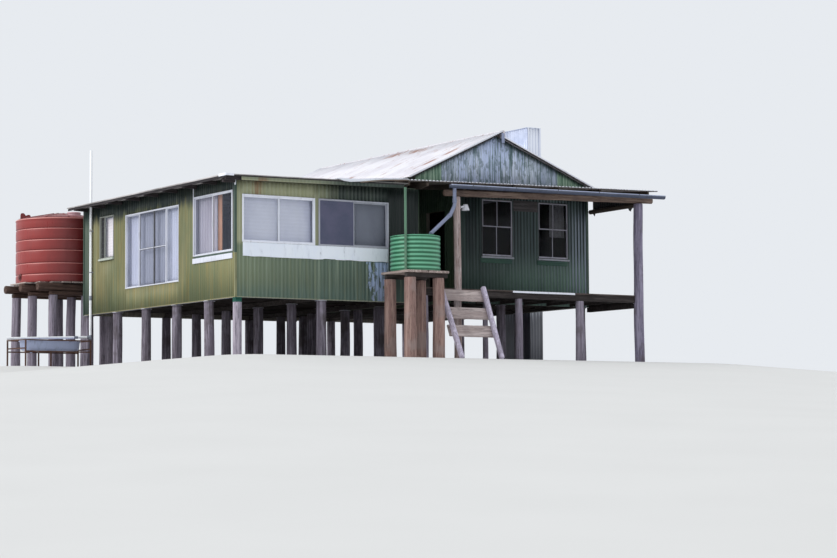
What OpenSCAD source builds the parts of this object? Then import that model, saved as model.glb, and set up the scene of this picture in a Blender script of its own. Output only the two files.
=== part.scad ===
// Stilt house: a corrugated-iron country cottage on round timber stumps.
// A flat-roofed lean-to stands at the left, a gabled main house with a front
// verandah at the right, and a dark entry recess lies between them.
// Millimetres. X runs along the front, Y runs back, Z is up from the ground.
// The origin is on the ground under the lean-to's front-left corner stump.

/* [Stilts] */
// Height of the lean-to wall foot above the ground
stilt_h = 1300; // [1100:50:1700]
// Diameter of the round stumps
stump_d = 230; // [160:10:240]
// Length of the square corner stump's side
corner_stump = 200; // [160:10:200]

/* [Lean-to] */
// Length of the lean-to front wall
lean_w = 4690; // [4600:10:4750]
// Depth of the lean-to from front to back
lean_d = 7700; // [7600:10:7760]
// Height of the lean-to walls
lean_h = 2560; // [2540:10:2570]
// Floor surface above the wall foot
lean_floor_z = 200; // [190:5:220]
// Roof overhang past the left wall
lean_eave = 400; // [300:10:450]

/* [Main house] */
// Left wall of the main house
main_x0 = 5900; // [5880:10:5940]
// Right wall of the main house
main_x1 = 10970; // [10940:5:10990]
// Front wall line of the main house
main_y0 = 2000; // [1990:5:2020]
// Back wall line of the main house
main_y1 = 10300; // [9600:50:10400]
// Foot of the main walls above the lean-to wall foot
main_foot = 200; // [180:10:220]
// Floor surface of the main house above the lean-to wall foot
main_floor_z = 400; // [390:5:420]
// Ridge line, measured across the front
ridge_x = 8335; // [8310:5:8360]
// Fall of the left roof slope
slope_left = 0.472; // [0.46:0.001:0.48]
// Fall of the right roof slope
slope_right = 0.402; // [0.39:0.001:0.41]
// Far end of the roof past the back wall
roof_back = 200; // [100:10:300]

/* [Verandah] */
// Deck surface above the lean-to wall foot
deck_z = 370; // [350:5:380]
// Diameter of the left verandah post
post_l_d = 170; // [140:5:180]
// Diameter of the right verandah post
post_r_d = 240; // [200:5:260]

/* [Walls] */
// Thickness of framed walls
wall_t = 90; // [80:5:100]
// Thickness of roof sheeting with its battens
sheet_t = 40; // [30:2:44]

/* [Tanks] */
// Radius of the red water tank
red_r = 1120; // [1050:10:1140]
// Height of the red tank's wall
red_h = 1566; // [1400:2:1700]
// Radius of the green water tank
green_r = 560; // [500:10:570]
// Height of the green tank's wall
green_h = 770; // [650:10:800]

/* [Hidden] */
$fn = 32;
eps = 0.01;
H = stilt_h;
x4 = lean_w;
front_edge_y = -330;
main_foot_z = H + main_foot;
recess_y1 = 4500;
room_x0 = 7000;
plate_z = H + 3000;
// undersides of the two main roof slopes at a given x
function under_l(x) = H + 3112 + slope_left * (x - 5680);
function under_r(x) = H + 3108 + slope_right * (11150 - x);
// top of the verandah beam and underside of the verandah roof
function beam_top(x) = H + 2621 + (x - 5380) * 0.0225;
function ver_under(x, y) = H + 2724 + (x - 4220) * 0.0197 + (y - front_edge_y) * 0.08;
// underside of the lean-to roof
function lean_under(x) = H + 2590 + (x + 400) * 0.012;

stump_x = [80, 2170, 4500];
stump_y = [70, 1360, 2920, 4470, 5990, 7600];
main_stump_x = [6010, 8430, 10850];
main_stump_y = [2130, 4800, 7500, 10180];
red_c = [0, 9030];
red_z = H + 840;
green_c = [4090, -800];
green_z = H + 640;

// ---------- shared shapes ----------

// box given by its low and high corners
module bx(a, b) { translate(a) cube([b[0] - a[0], b[1] - a[1], b[2] - a[2]]); }

// round post standing at a point
module post(x, y, z0, z1, d) { translate([x, y, z0]) cylinder(h = z1 - z0, d = d); }

// rod between two points
module rod(a, b, d) {
    v = b - a; l = norm(v);
    translate(a) rotate([0, acos(v[2] / l), atan2(v[1], v[0])]) cylinder(h = l, d = d);
}

// upright plate whose outline is drawn in XZ, with its front at y
module plate_xz(pts, y, t) {
    translate([0, y + t, 0]) rotate([90, 0, 0]) linear_extrude(t) polygon(pts);
}

// upright plate whose outline is drawn in YZ, with its low side at x
module plate_yz(pts, x, t) {
    translate([x, 0, 0]) rotate([90, 0, 90]) linear_extrude(t) polygon(pts);
}

// window frame seen from outside: x to the right, z up, y in
// cols and rows list the light boundaries between bars
module window_frame(w, h, f, bars_v, bars_h, bt) {
    difference() {
        bx([0, -34, 0], [w, 56, h]);
        bx([f, -60, f], [w - f, 80, h - f]);
    }
    for (b = bars_v) bx([b[0] - bt / 2, -20, b[1] - eps], [b[0] + bt / 2, 40, b[2] + eps]);
    for (b = bars_h) bx([b[1] - eps, -20, b[0] - bt / 2], [b[2] + eps, 40, b[0] + bt / 2]);
}

// one pane of glass
module pane(x0, x1, z0, z1) { bx([x0, 8, z0], [x1, 14, z1]); }

module at_left_wall(y1, z) { translate([0, y1, z]) rotate([0, 0, -90]) children(); }
module at_front(x0, y, z) { translate([x0, y, z]) children(); }
module at_right_wall(y0, z) { translate([main_x1, y0, z]) rotate([0, 0, 90]) children(); }
module at_back(x1, z) { translate([x1, main_y1, z]) rotate([0, 0, 180]) children(); }

// two-light sliding window
module slider(w, h) { window_frame(w, h, 50, [[w / 2, 50, h - 50]], [], 50); }
module slider_glass(w, h) {
    pane(50, w / 2 - 25, 50, h - 50);
    pane(w / 2 + 25, w - 50, 50, h - 50);
}

sash_w = 900; sash_h = 1385; sash_mid = 730;
// four-light sash window
module sash() {
    window_frame(sash_w, sash_h, 50, [[sash_w / 2, 50, sash_mid - 20], [sash_w / 2, sash_mid + 20, sash_h - 50]],
                 [[sash_mid, 50, sash_w - 50]], 40);
}
module sash_glass() {
    for (x = [[50, sash_w / 2 - 20], [sash_w / 2 + 20, sash_w - 50]], z = [[50, sash_mid - 20], [sash_mid + 20, sash_h - 50]])
        pane(x[0], x[1], z[0], z[1]);
}

// ---------- lean-to ----------

module lean_to_stumps() color([0.55, 0.52, 0.52]) {
    post(80, 70, 0, H - 102, corner_stump - 4);
    for (i = [0:2], j = [0:5]) if (i + j > 0) post(stump_x[i], stump_y[j], 0, H, stump_d);
}

module corner_packer() color([0.22, 0.38, 0.33]) bx([5, -5, H - 102], [155, 145, H]);

// bearers on the stumps with the floor joists across them
module lean_to_subfloor() color([0.36, 0.31, 0.28]) {
    for (x = [[wall_t, wall_t + 90], [2125, 2215], [lean_w - wall_t - 100, lean_w - wall_t - 10]])
        bx([x[0], wall_t, H], [x[1], lean_d - wall_t, H + 99]);
    for (i = [0:15]) let (y = wall_t + 60 + i * 488)
        bx([wall_t, y, H + 100], [y > recess_y1 + wall_t ? main_x0 - 10 : lean_w - wall_t, y + 50, H + lean_floor_z - 22]);
}

module lean_to_floor() color([0.45, 0.38, 0.32]) {
    bx([wall_t, wall_t, H + lean_floor_z - 22], [lean_w - wall_t, lean_d - wall_t, H + lean_floor_z]);
    bx([lean_w - wall_t, recess_y1 + wall_t, H + lean_floor_z - 22], [main_x0, lean_d - wall_t, H + lean_floor_z]);
}

// front window openings as [x, width, foot, height]
front_win = [[160, 1810, 1195, 1035], [2070, 1810, 1195, 1035]];
// left wall window openings as [far y, width, foot, height]
corner_win = [1920, 1820, 1000, 1320];
large_win = [5370, 2730, 500, 1730];
small_win = [6790, 760, 1300, 1010];

module lean_to_front_wall() color([0.24, 0.33, 0.25]) difference() {
    bx([0, 0, H], [lean_w, wall_t, H + lean_h]);
    for (w = front_win) bx([w[0], -50, H + w[2]], [w[0] + w[1], wall_t + 50, H + w[2] + w[3]]);
}

// framed panels under and over each window, with the piers between the windows
module lean_to_left_wall() color([0.38, 0.39, 0.2]) {
    for (w = [corner_win, large_win, small_win]) let (y0 = w[0] - w[1] < wall_t + 30 ? wall_t : w[0] - w[1] + 1) {
        bx([0, y0, H], [wall_t, w[0] - 1, H + w[2]]);
        bx([0, y0, H + w[2] + w[3]], [wall_t, w[0] - 1, H + lean_h]);
    }
    bx([0, wall_t, H + corner_win[2] + 1], [wall_t, corner_win[0] - corner_win[1], H + corner_win[2] + corner_win[3] - 1]);
    for (p = [[corner_win[0], large_win[0] - large_win[1]], [large_win[0], small_win[0] - small_win[1]], [small_win[0], lean_d - wall_t]])
        bx([0, p[0], H], [wall_t, p[1], H + lean_h]);
}

module lean_to_back_wall() color([0.33, 0.36, 0.22]) bx([0, lean_d - wall_t, H], [main_x0, lean_d, H + lean_h]);

module lean_to_right_wall() color([0.22, 0.28, 0.22]) difference() {
    bx([lean_w - wall_t, wall_t, H], [lean_w, recess_y1 + wall_t, H + lean_h]);
    bx([lean_w - 200, 2600, H + lean_floor_z], [lean_w + 100, 3420, H + 2240]);
}

module lean_to_rafters() color([0.42, 0.36, 0.31]) {
    // tails under the left eave and the joists of the flat roof inside
    for (i = [0:8]) let (y = i == 0 ? -250 : i * 950 - 130) {
        if (i == 0) plate_xz([[-370, lean_under(-370) - 90], [4150, lean_under(4150) - 90], [4150, lean_under(4150) - 2], [-370, lean_under(-370) - 2]], y, 50);
        else {
            plate_xz([[-370, lean_under(-370) - 70], [-2, lean_under(-2) - 90], [-2, lean_under(-2) - 2], [-370, lean_under(-370) - 2]], y, 50);
            plate_xz([[wall_t, lean_under(wall_t) - 120], [lean_w - wall_t, lean_under(lean_w) - 120], [lean_w - wall_t, lean_under(lean_w - wall_t) - 2], [wall_t, lean_under(wall_t) - 2]], y, 50);
        }
    }
}

module lean_to_roof() color([0.6, 0.6, 0.58]) difference() {
    union() {
        plate_xz([[-lean_eave, lean_under(-lean_eave)], [4250, lean_under(4250)], [4250, lean_under(4250) + sheet_t - 10], [-lean_eave, lean_under(-lean_eave) + sheet_t - 10]], -300, 2300 + eps);
        plate_xz([[-lean_eave, lean_under(-lean_eave)], [main_x0, lean_under(main_x0)], [main_x0, lean_under(main_x0) + sheet_t - 10], [-lean_eave, lean_under(-lean_eave) + sheet_t - 10]], 2000, 5850);
    }
    translate([-62, 7200, H + 2400]) cylinder(h = 500, r = 34);
}

// lapped repair sheet along the front edge, between the lean-to and the verandah
module entry_roof_sheet() color([0.85, 0.85, 0.87])
    plate_xz([[2370, H + 2655], [2900, H + 2664], [3600, H + 2722], [4150, H + 2748], [4212, H + 2749],
              [4212, H + 2773], [4150, H + 2772], [3600, H + 2746], [2900, H + 2688], [2370, H + 2679]], front_edge_y - 10, 2300);

// ---------- main house ----------

module main_stumps() color([0.5, 0.47, 0.45])
    for (x = main_stump_x, y = main_stump_y) post(x, y, 0, main_foot_z, stump_d);

module main_subfloor() color([0.34, 0.3, 0.27]) {
    for (x = [main_x0 + wall_t + 2, 8385, main_x1 - wall_t - 92])
        bx([x, x < 7000 ? recess_y1 + wall_t : main_y0 + wall_t, main_foot_z], [x + 90, main_y1 - wall_t, main_foot_z + 79]);
    for (i = [0:16]) let (y = main_y0 + wall_t + 40 + i * 498)
        bx([y > recess_y1 + wall_t ? main_x0 + wall_t : room_x0 + wall_t, y, main_foot_z + 80], [main_x1 - wall_t, y + 50, H + main_floor_z - 22]);
}

module main_floor() color([0.45, 0.38, 0.32]) {
    bx([room_x0 + wall_t, main_y0 + wall_t, H + main_floor_z - 22], [main_x1 - wall_t, main_y1 - wall_t, H + main_floor_z]);
    bx([main_x0 + wall_t, recess_y1 + wall_t, H + main_floor_z - 22], [room_x0 + wall_t, main_y1 - wall_t, H + main_floor_z]);
}

// sash windows across the front as [x, foot]
front_sash = [[7795, 1345], [9465, 1350]];

module main_front_wall() color([0.2, 0.3, 0.25]) difference() {
    bx([room_x0, main_y0, main_foot_z], [main_x1, main_y0 + wall_t, plate_z]);
    for (s = front_sash) bx([s[0], main_y0 - 50, H + s[1]], [s[0] + sash_w, main_y0 + wall_t + 50, H + s[1] + sash_h]);
}

module main_right_wall() color([0.2, 0.3, 0.25]) difference() {
    bx([main_x1 - wall_t, main_y0 + wall_t, main_foot_z], [main_x1, main_y1 - wall_t, under_r(main_x1) - 2]);
    bx([main_x1 - 200, 7300, H + 1345], [main_x1 + 100, 7300 + sash_w, H + 1345 + sash_h]);
}

module main_left_wall() color([0.2, 0.3, 0.25])
    plate_yz([[recess_y1 + wall_t, main_foot_z], [main_y1 - wall_t, main_foot_z], [main_y1 - wall_t, under_l(main_x0) - 2], [main_y0 + wall_t, under_l(main_x0) - 2],
              [main_y0 + wall_t, H + 2700], [recess_y1 + wall_t, H + 2700]], main_x0, wall_t);

module main_back_wall() color([0.2, 0.3, 0.25]) difference() {
    plate_xz([[main_x0, main_foot_z], [main_x1, main_foot_z], [main_x1, under_r(main_x1) - 2], [ridge_x + 10, under_r(ridge_x + 10) - 2],
              [ridge_x + 10, under_l(ridge_x) - 2], [ridge_x, under_l(ridge_x) - 2], [main_x0, under_l(main_x0) - 2]], main_y1 - wall_t, wall_t);
    bx([9100, main_y1 - 200, H + 1345], [9100 + sash_w, main_y1 + 100, H + 1345 + sash_h]);
}

module recess_side_wall() color([0.16, 0.19, 0.17]) difference() {
    bx([room_x0, main_y0 + wall_t, main_foot_z], [room_x0 + wall_t, recess_y1, under_l(room_x0) - 2]);
    bx([room_x0 - 100, 2380, H + main_floor_z], [room_x0 + 200, 3200, H + 2440]);
}

module recess_back_wall() color([0.16, 0.19, 0.17])
    plate_xz([[lean_w, main_foot_z], [room_x0 + wall_t, main_foot_z], [room_x0 + wall_t, under_l(room_x0 + wall_t) - 2],
              [main_x0 + wall_t, under_l(main_x0 + wall_t) - 2], [main_x0 + wall_t, H + 2640], [lean_w, H + 2640]], recess_y1, wall_t);

module front_gable() color([0.5, 0.56, 0.6])
    plate_xz([[main_x0, plate_z], [main_x1, plate_z], [main_x1, under_r(main_x1) - 2], [ridge_x + 10, under_r(ridge_x + 10) - 2],
              [ridge_x + 10, under_l(ridge_x) - 2], [ridge_x, under_l(ridge_x) - 2], [main_x0, under_l(main_x0) - 2]], main_y0, wall_t);

module main_roof_left() color([0.85, 0.84, 0.84])
    plate_xz([[5680, under_l(5680)], [ridge_x, under_l(ridge_x)], [ridge_x, under_l(ridge_x) + sheet_t], [5680, under_l(5680) + sheet_t]], 1850, main_y1 + roof_back - 1850);

module main_roof_right() color([0.8, 0.8, 0.8]) difference() {
    plate_xz([[ridge_x + 10, under_r(ridge_x + 10)], [11150, under_r(11150)], [11150, under_r(11150) + sheet_t], [ridge_x + 10, under_r(ridge_x + 10) + sheet_t]], 1850, main_y1 + roof_back - 1850);
    bx([10960, 4490, H], [11500, 5910, H + 6000]);
}

// the left slope stands above the right one, and this upstand closes the step
module ridge_cap() color([0.75, 0.75, 0.76])
    plate_xz([[ridge_x + 12, under_r(ridge_x + 12) + sheet_t + 2], [ridge_x + 90, under_r(ridge_x + 90) + sheet_t + 2],
              [ridge_x + 60, under_l(ridge_x) + sheet_t - 10], [ridge_x + 2, under_l(ridge_x) + sheet_t + 12], [ridge_x + 2, under_l(ridge_x) + 2]], 1840, main_y1 + roof_back - 1830);

module gable_finial() color([0.8, 0.8, 0.84]) bx([ridge_x - 43, 1808, H + 4095], [ridge_x + 37, 1838, H + 4340]);

module chimney() color([0.72, 0.76, 0.8]) difference() {
    bx([main_x1 + 22, 4500, 0], [main_x1 + 390, 5900, H + 5000]);
    bx([main_x1 + 47, 4525, 60], [main_x1 + 365, 5875, H + 5100]);
}

// ---------- windows ----------

module front_windows() color([0.85, 0.86, 0.88])
    for (w = front_win) at_front(w[0], 0, H + w[2]) slider(w[1], w[3]);
module corner_window() color([0.9, 0.9, 0.92]) at_left_wall(corner_win[0], H + corner_win[2]) slider(corner_win[1], corner_win[3]);

large_bars = [710, 1470, 2085];
module large_side_window() color([0.9, 0.9, 0.92]) at_left_wall(large_win[0], H + large_win[2])
    window_frame(large_win[1], large_win[3], 60, [for (b = large_bars) [b, 60, large_win[3] - 60]], [[870, 710, 2085]], 46);

module small_side_window() color([0.4, 0.42, 0.38]) at_left_wall(small_win[0], H + small_win[2])
    window_frame(small_win[1], small_win[3], 45, [[200, 45, small_win[3] - 45]], [], 36);

module sash_windows() color([0.8, 0.8, 0.82]) {
    for (s = front_sash) at_front(s[0], main_y0, H + s[1]) sash();
    at_right_wall(7300, H + 1345) sash();
    at_back(9100 + sash_w, H + 1345) sash();
}

module window_glass() color([0.6, 0.66, 0.7, 0.35]) {
    for (w = front_win) at_front(w[0], 0, H + w[2]) slider_glass(w[1], w[3]);
    at_left_wall(corner_win[0], H + corner_win[2]) slider_glass(corner_win[1], corner_win[3]);
    at_left_wall(large_win[0], H + large_win[2]) {
        pane(60, large_bars[0] - 23, 60, large_win[3] - 60);
        pane(large_bars[2] + 23, large_win[1] - 60, 60, large_win[3] - 60);
        for (c = [[large_bars[0] + 23, large_bars[1] - 23], [large_bars[1] + 23, large_bars[2] - 23]], r = [[60, 847], [893, large_win[3] - 60]])
            pane(c[0], c[1], r[0], r[1]);
    }
    at_left_wall(small_win[0], H + small_win[2]) {
        pane(45, 182, 45, small_win[3] - 45);
        pane(218, small_win[1] - 45, 45, small_win[3] - 45);
    }
    for (s = front_sash) at_front(s[0], main_y0, H + s[1]) sash_glass();
    at_right_wall(7300, H + 1345) sash_glass();
    at_back(9100 + sash_w, H + 1345) sash_glass();
}

module window_band_panel() color([0.82, 0.84, 0.88]) bx([165, -30, H + 890], [3875, 0, H + 1193]);

module window_sills() color([0.85, 0.85, 0.88]) {
    bx([-40, 90, H + 840], [0, 1935, H + 998]);
    bx([-55, 6010, H + 1250], [0, 6815, H + 1298]);
    for (s = front_sash) bx([s[0] - 20, main_y0 - 60, H + s[1] - 42], [s[0] + sash_w + 20, main_y0, H + s[1] - 2]);
    bx([main_x1, 7280, H + 1303], [main_x1 + 60, 7320 + sash_w, H + 1343]);
    bx([9080, main_y1, H + 1303], [9120 + sash_w, main_y1 + 60, H + 1343]);
}

// flat painted boards under the sash windows and the head board between them
module wall_boards() color([0.25, 0.4, 0.34]) {
    for (s = front_sash) bx([s[0] - 40, main_y0 - 28, H + s[1] - 160], [s[0] + sash_w - 30, main_y0, H + s[1] - 44]);
    bx([8725, main_y0 - 28, H + 2480], [9450, main_y0, H + 2740]);
}

// thin hanging curtains and blinds behind the glass
module window_curtains() color([0.86, 0.86, 0.88]) {
    for (w = front_win) bx([w[0] + 20, 100, H + w[2] + 20], [w[0] + w[1] - 20, 125, H + w[2] + w[3] + 40]);
    bx([100, corner_win[0] - 900, H + 1010], [125, corner_win[0] - 10, H + 2360]);
    bx([100, large_win[0] - large_win[1] + 10, H + 510], [125, large_win[0] - 10, H + 2270]);
    bx([100, small_win[0] - small_win[1] + 10, H + 1310], [125, small_win[0] - 10, H + 2340]);
    bx([front_sash[1][0] + 420, main_y0 + 100, H + 1900], [front_sash[1][0] + 880, main_y0 + 125, H + 2760]);
    bx([main_x1 - 125, 7310, H + 1360], [main_x1 - 100, 7290 + sash_w, H + 2770]);
    bx([9110, main_y1 - 125, H + 1360], [9090 + sash_w, main_y1 - 100, H + 2770]);
}

// ---------- verandah ----------

module verandah_posts() color([0.48, 0.44, 0.42]) {
    post(5750, 0, 0, beam_top(5750) - 155, post_l_d);
    post(11000, 0, 0, beam_top(11000) - 155, post_r_d);
}

module verandah_beam() color([0.4, 0.34, 0.32])
    plate_xz([[5380, beam_top(5380) - 150], [11440, beam_top(11440) - 150], [11440, beam_top(11440)], [5380, beam_top(5380)]], -50, 100);

module verandah_rafters() color([0.35, 0.3, 0.28]) {
    for (x = [4260, 4760, 5900, 7150, 8400, 9650, 11090])
        plate_yz([[-250, max(beam_top(x), ver_under(x, -50) - 110) + 4], [50, beam_top(x) + 4], [main_y0 - 40, ver_under(x, main_y0 - 40) - 90],
                  [main_y0 - 40, ver_under(x, main_y0 - 40) - 2], [-250, ver_under(x, -250) - 2]], x, 60);
    // end log from the wall corner to the right post
    rod([11030, main_y0 - 60, H + 2560], [11030, 150, H + 2570], 110);
    // plate on the wall under the rafters
    plate_xz([[room_x0 + 20, ver_under(room_x0 + 20, 1960) - 165], [main_x1, ver_under(main_x1, 1960) - 165],
              [main_x1, ver_under(main_x1, 1960) - 94], [room_x0 + 20, ver_under(room_x0 + 20, 1960) - 94]], main_y0 - 38, 36);
}

module verandah_roof() color([0.7, 0.7, 0.7]) {
    // thin slab that rises to the back and a little to the right
    multmatrix([[1, 0, 0, 4218], [0, 1, 0, front_edge_y], [0.0197, 0.08, 1, ver_under(4218, front_edge_y)], [0, 0, 0, 1]])
        cube([7162, main_y0 - front_edge_y - 2, 26]);
}

module gutter() color([0.5, 0.53, 0.62]) difference() {
    plate_xz([[5310, H + 2612], [11510, H + 2685], [11510, H + 2777], [5310, H + 2704]], -440, 108);
    plate_xz([[5320, H + 2620], [11500, H + 2693], [11500, H + 2900], [5320, H + 2800]], -432, 92);
}

module downpipe() color([0.5, 0.53, 0.62]) {
    a = [5428, -386, H + 2610]; b = [5428, -386, H + 2225]; c = [5262, -470, H + 2004]; e = [4500, -800, H + 1500];
    rod(b, a, 88);
    translate(b - [0, 0, 60]) cylinder(h = 116, d = 106);
    rod(b, c, 84);
    // collar at the second bend
    rod(c + (b - c) * 0.2, c - (b - c) * 0.2, 102);
    rod(c, e, 86);
}

module post_lamp() color([0.85, 0.85, 0.88]) {
    bx([5832, -30, H + 2200], [5900, 30, H + 2260]);
    translate([5985, 0, H + 2170]) cylinder(h = 140, d1 = 180, d2 = 110);
}

module deck_stumps() color([0.5, 0.47, 0.45]) {
    post(9260, 60, 0, H + 190, 210);
    post(7500, 60, 0, H + 190, 180);
    post(4880, 60, 0, H + 190, 180);
    post(4880, 2080, 0, H + 190, 180);
    post(7200, 1000, 0, H + 190, 130);
}

module deck_bearers() color([0.4, 0.36, 0.34]) {
    // front bearer between the posts, side bearer and cross joists
    bx([4760, 0, H + 190], [5660, 110, H + 340]);
    bx([5840, 0, H + 190], [10870, 110, H + 340]);
    bx([10945, 240, H + 75], [11055, 2010, H + 190]);
    for (x = [4780, 5500, 6200, 6900, 7600, 8300, 9000, 9700, 10400, 10990])
        bx([x, 130, H + 195], [x + 60, main_y0 - 2, H + 340]);
}

module deck_boards() color([0.5, 0.46, 0.44]) difference() {
    bx([lean_w + 5, -30, H + 340], [11090, main_y0 - 2, H + deck_z]);
    translate([5750, 0, H + 300]) cylinder(h = 200, d = post_l_d + 4);
    translate([11000, 0, H + 300]) cylinder(h = 200, d = post_r_d + 4);
}

module recess_floor() color([0.46, 0.42, 0.4]) bx([lean_w + 5, main_y0 + 2, H + 330], [room_x0 - 2, recess_y1 - 2, H + deck_z]);

// raking ladder-like steps up to the deck, as [low x, top z over the stumps, top y, slope]
step_poles = [[5119, 740, 16, 0.52], [6285, 440, -146, 0.45]];
module step_stringers() color([0.62, 0.6, 0.64])
    for (s = step_poles) let (foot = s[2] - s[3] * (H + s[1]))
        plate_yz([[foot - 65, 0], [foot + 65, 0], [s[2] + 65, H + s[1]], [s[2] - 65, H + s[1]]], s[0], 110);

// front of the boards, just behind the poles
function board_y(z) = -77 - 0.45 * (440 - z);
module step_boards() color([0.6, 0.57, 0.58])
    for (z = [330, -85, -500])
        plate_yz([[board_y(z), H + z], [board_y(z) + 44, H + z], [board_y(z - 265) + 44, H + z - 265], [board_y(z - 265), H + z - 265]], 5135, 1250);

// ---------- fixed plumbing ----------

// vent pipe up the left wall and through the eave, with its waste arm to the bath
module vent_pipe() color([0.92, 0.92, 0.93]) {
    post(-62, 7200, H - 545, H + 3970, 65);
    translate([-62, 7200, H - 597]) cylinder(h = 100, d = 78);
    rod([-2065, 7560, H - 603], [-62, 7200, H - 547], 60);
}

// old cast bath used as a trough, standing in a thin welded frame
module bath_tub() color([0.62, 0.65, 0.72]) difference() {
    translate([-1870, 6860, H - 910]) linear_extrude(245) tub_outline(1500, 660);
    translate([-1842, 6888, H - 882]) linear_extrude(300) tub_outline(1444, 604);
}
module tub_outline(l, w) {
    r = w / 2 - 20;
    translate([r, 0]) square([l - 2 * r, w]);
    translate([0, r]) square([l, w - 2 * r]);
    for (x = [r, l - r], y = [r, w - r]) translate([x, y]) circle(r = r);
}

module bath_frame() color([0.3, 0.22, 0.19]) {
    for (r = [[6820, -1905], [7535, -2060]]) {
        // legs at the ends, a short one in the middle, top and bottom rails
        for (x = [r[1], -240]) bx([x, r[0], 0], [x + 32, r[0] + 32, H - 645]);
        bx([-1265, r[0], 0], [-1233, r[0] + 32, H - 942]);
        bx([r[1], r[0], H - 673], [-208, r[0] + 32, H - 645]);
        bx([r[1], r[0], H - 942], [-208, r[0] + 32, H - 912]);
    }
    for (z = [[-673, -645], [-870, -840]]) {
        bx([-240, 6851, H + z[0]], [-208, 7536, H + z[1]]);
        // the left end runs out to the longer rear rail
        translate([0, 0, H + z[0]]) linear_extrude(z[1] - z[0])
            polygon([[-1905, 6851], [-1873, 6851], [-2028, 7536], [-2060, 7536]]);
    }
    for (x = [-1680, -1265, -560]) bx([x, 6851, H - 942], [x + 32, 7536, H - 912]);
}

// thin upright pole on the tank stand, just in front of the tank
module stand_pole() color([0.35, 0.52, 0.42]) post(3608, -1162, H + 636, H + 2455, 58);

// ---------- tanks ----------

module tank_ring(c, z, r, h, t) {
    translate([c[0], c[1], z]) difference() {
        cylinder(h = h, r = r, $fn = 64);
        translate([0, 0, -10]) cylinder(h = h + 20, r = r - t, $fn = 64);
    }
}

module green_tank_shell() color([0.3, 0.55, 0.38]) tank_ring(green_c, green_z, green_r, green_h, 12);

module green_tank_ends() color([0.32, 0.55, 0.4]) {
    translate([green_c[0], green_c[1], green_z]) cylinder(h = 12, r = green_r - 13, $fn = 64);
    // domed lid with its round leaf strainer
    translate([green_c[0], green_c[1], green_z + green_h + 1]) cylinder(h = 25, r1 = green_r - 5, r2 = green_r - 60, $fn = 64);
    translate([4440, -800, green_z + green_h + 22]) cylinder(h = 50, d = 250);
}

// round logs carry two bearers and a deck of planks
module green_tank_stand() color([0.48, 0.36, 0.31]) {
    for (p = [[3690, -390], [3690, -1210], [4430, -1210], [4490, -390]]) post(p[0], p[1], 0, H + 479, 270);
    for (y = [-1280, -440]) bx([3560, y, H + 480], [4640, y + 110, H + 579]);
    for (i = [0:5]) bx([3540 + i * 184, -1350, H + 580], [3540 + i * 184 + 180, -250, H + 635]);
}

module red_tank_shell() color([0.6, 0.2, 0.17]) tank_ring(red_c, red_z, red_r, red_h, 14);

// base, and a low cone lid with its lifting lug and leaf strainer
module red_tank_ends() color([0.6, 0.2, 0.17]) {
    translate([red_c[0], red_c[1], red_z]) cylinder(h = 14, r = red_r - 15, $fn = 64);
    translate([red_c[0], red_c[1], red_z + red_h + 1]) cylinder(h = 185, r1 = red_r - 6, r2 = 190, $fn = 64);
    translate([-895, 9310, red_z + red_h + 20]) rotate([0, 0, -20]) {
        translate([-110, -35, 0]) cube([110, 70, 185]);
        translate([-1, -30, 0]) cube([100, 60, 120]);
    }
    translate([50, 8430, red_z + red_h + 30]) cylinder(h = 150, d = 340);
}

// three rows of logs with a beam and a round bearer along each, and planks trimmed to the tank
red_rows = [[9600, [-960, 180, 1000], -1250], [8700, [-920, 100, 1000], -1240], [8060, [-650, 200, 850], -1070]];
module red_tank_stand() color([0.45, 0.42, 0.42]) {
    for (r = red_rows) {
        for (x = r[1]) post(x, r[0], 0, H + 508, 225);
        bx([r[1][0] - 90, r[0] - 75, H + 509], [1110, r[0] + 75, H + 605]);
        translate([r[2], r[0], H + 706]) rotate([0, 90, 0]) cylinder(h = 1180 - r[2], d = 198);
    }
    intersection() {
        for (i = [0:9]) bx([-1170 + i * 236, 7800, H + 806], [-1170 + i * 236 + 226, 10250, H + 838]);
        translate([red_c[0], red_c[1], H + 700]) cylinder(h = 300, r = red_r + 40, $fn = 64);
    }
}

lean_to_stumps();
corner_packer();
lean_to_subfloor();
lean_to_floor();
lean_to_front_wall();
lean_to_left_wall();
lean_to_back_wall();
lean_to_right_wall();
main_stumps();
main_subfloor();
main_floor();
main_front_wall();
main_right_wall();
main_left_wall();
main_back_wall();
recess_side_wall();
recess_back_wall();
front_gable();
front_windows();
corner_window();
large_side_window();
small_side_window();
sash_windows();
window_glass();
window_curtains();
window_band_panel();
window_sills();
wall_boards();
lean_to_rafters();
lean_to_roof();
entry_roof_sheet();
verandah_rafters();
verandah_roof();
main_roof_left();
main_roof_right();
ridge_cap();
gable_finial();
verandah_posts();
verandah_beam();
deck_stumps();
deck_bearers();
deck_boards();
recess_floor();
step_stringers();
step_boards();
gutter();
downpipe();
chimney();
post_lamp();
vent_pipe();
bath_tub();
bath_frame();
stand_pole();
green_tank_shell();
green_tank_ends();
green_tank_stand();
red_tank_shell();
red_tank_ends();
red_tank_stand();
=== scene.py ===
import math
import random

import bpy
from mathutils import Matrix, Vector, noise


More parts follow.
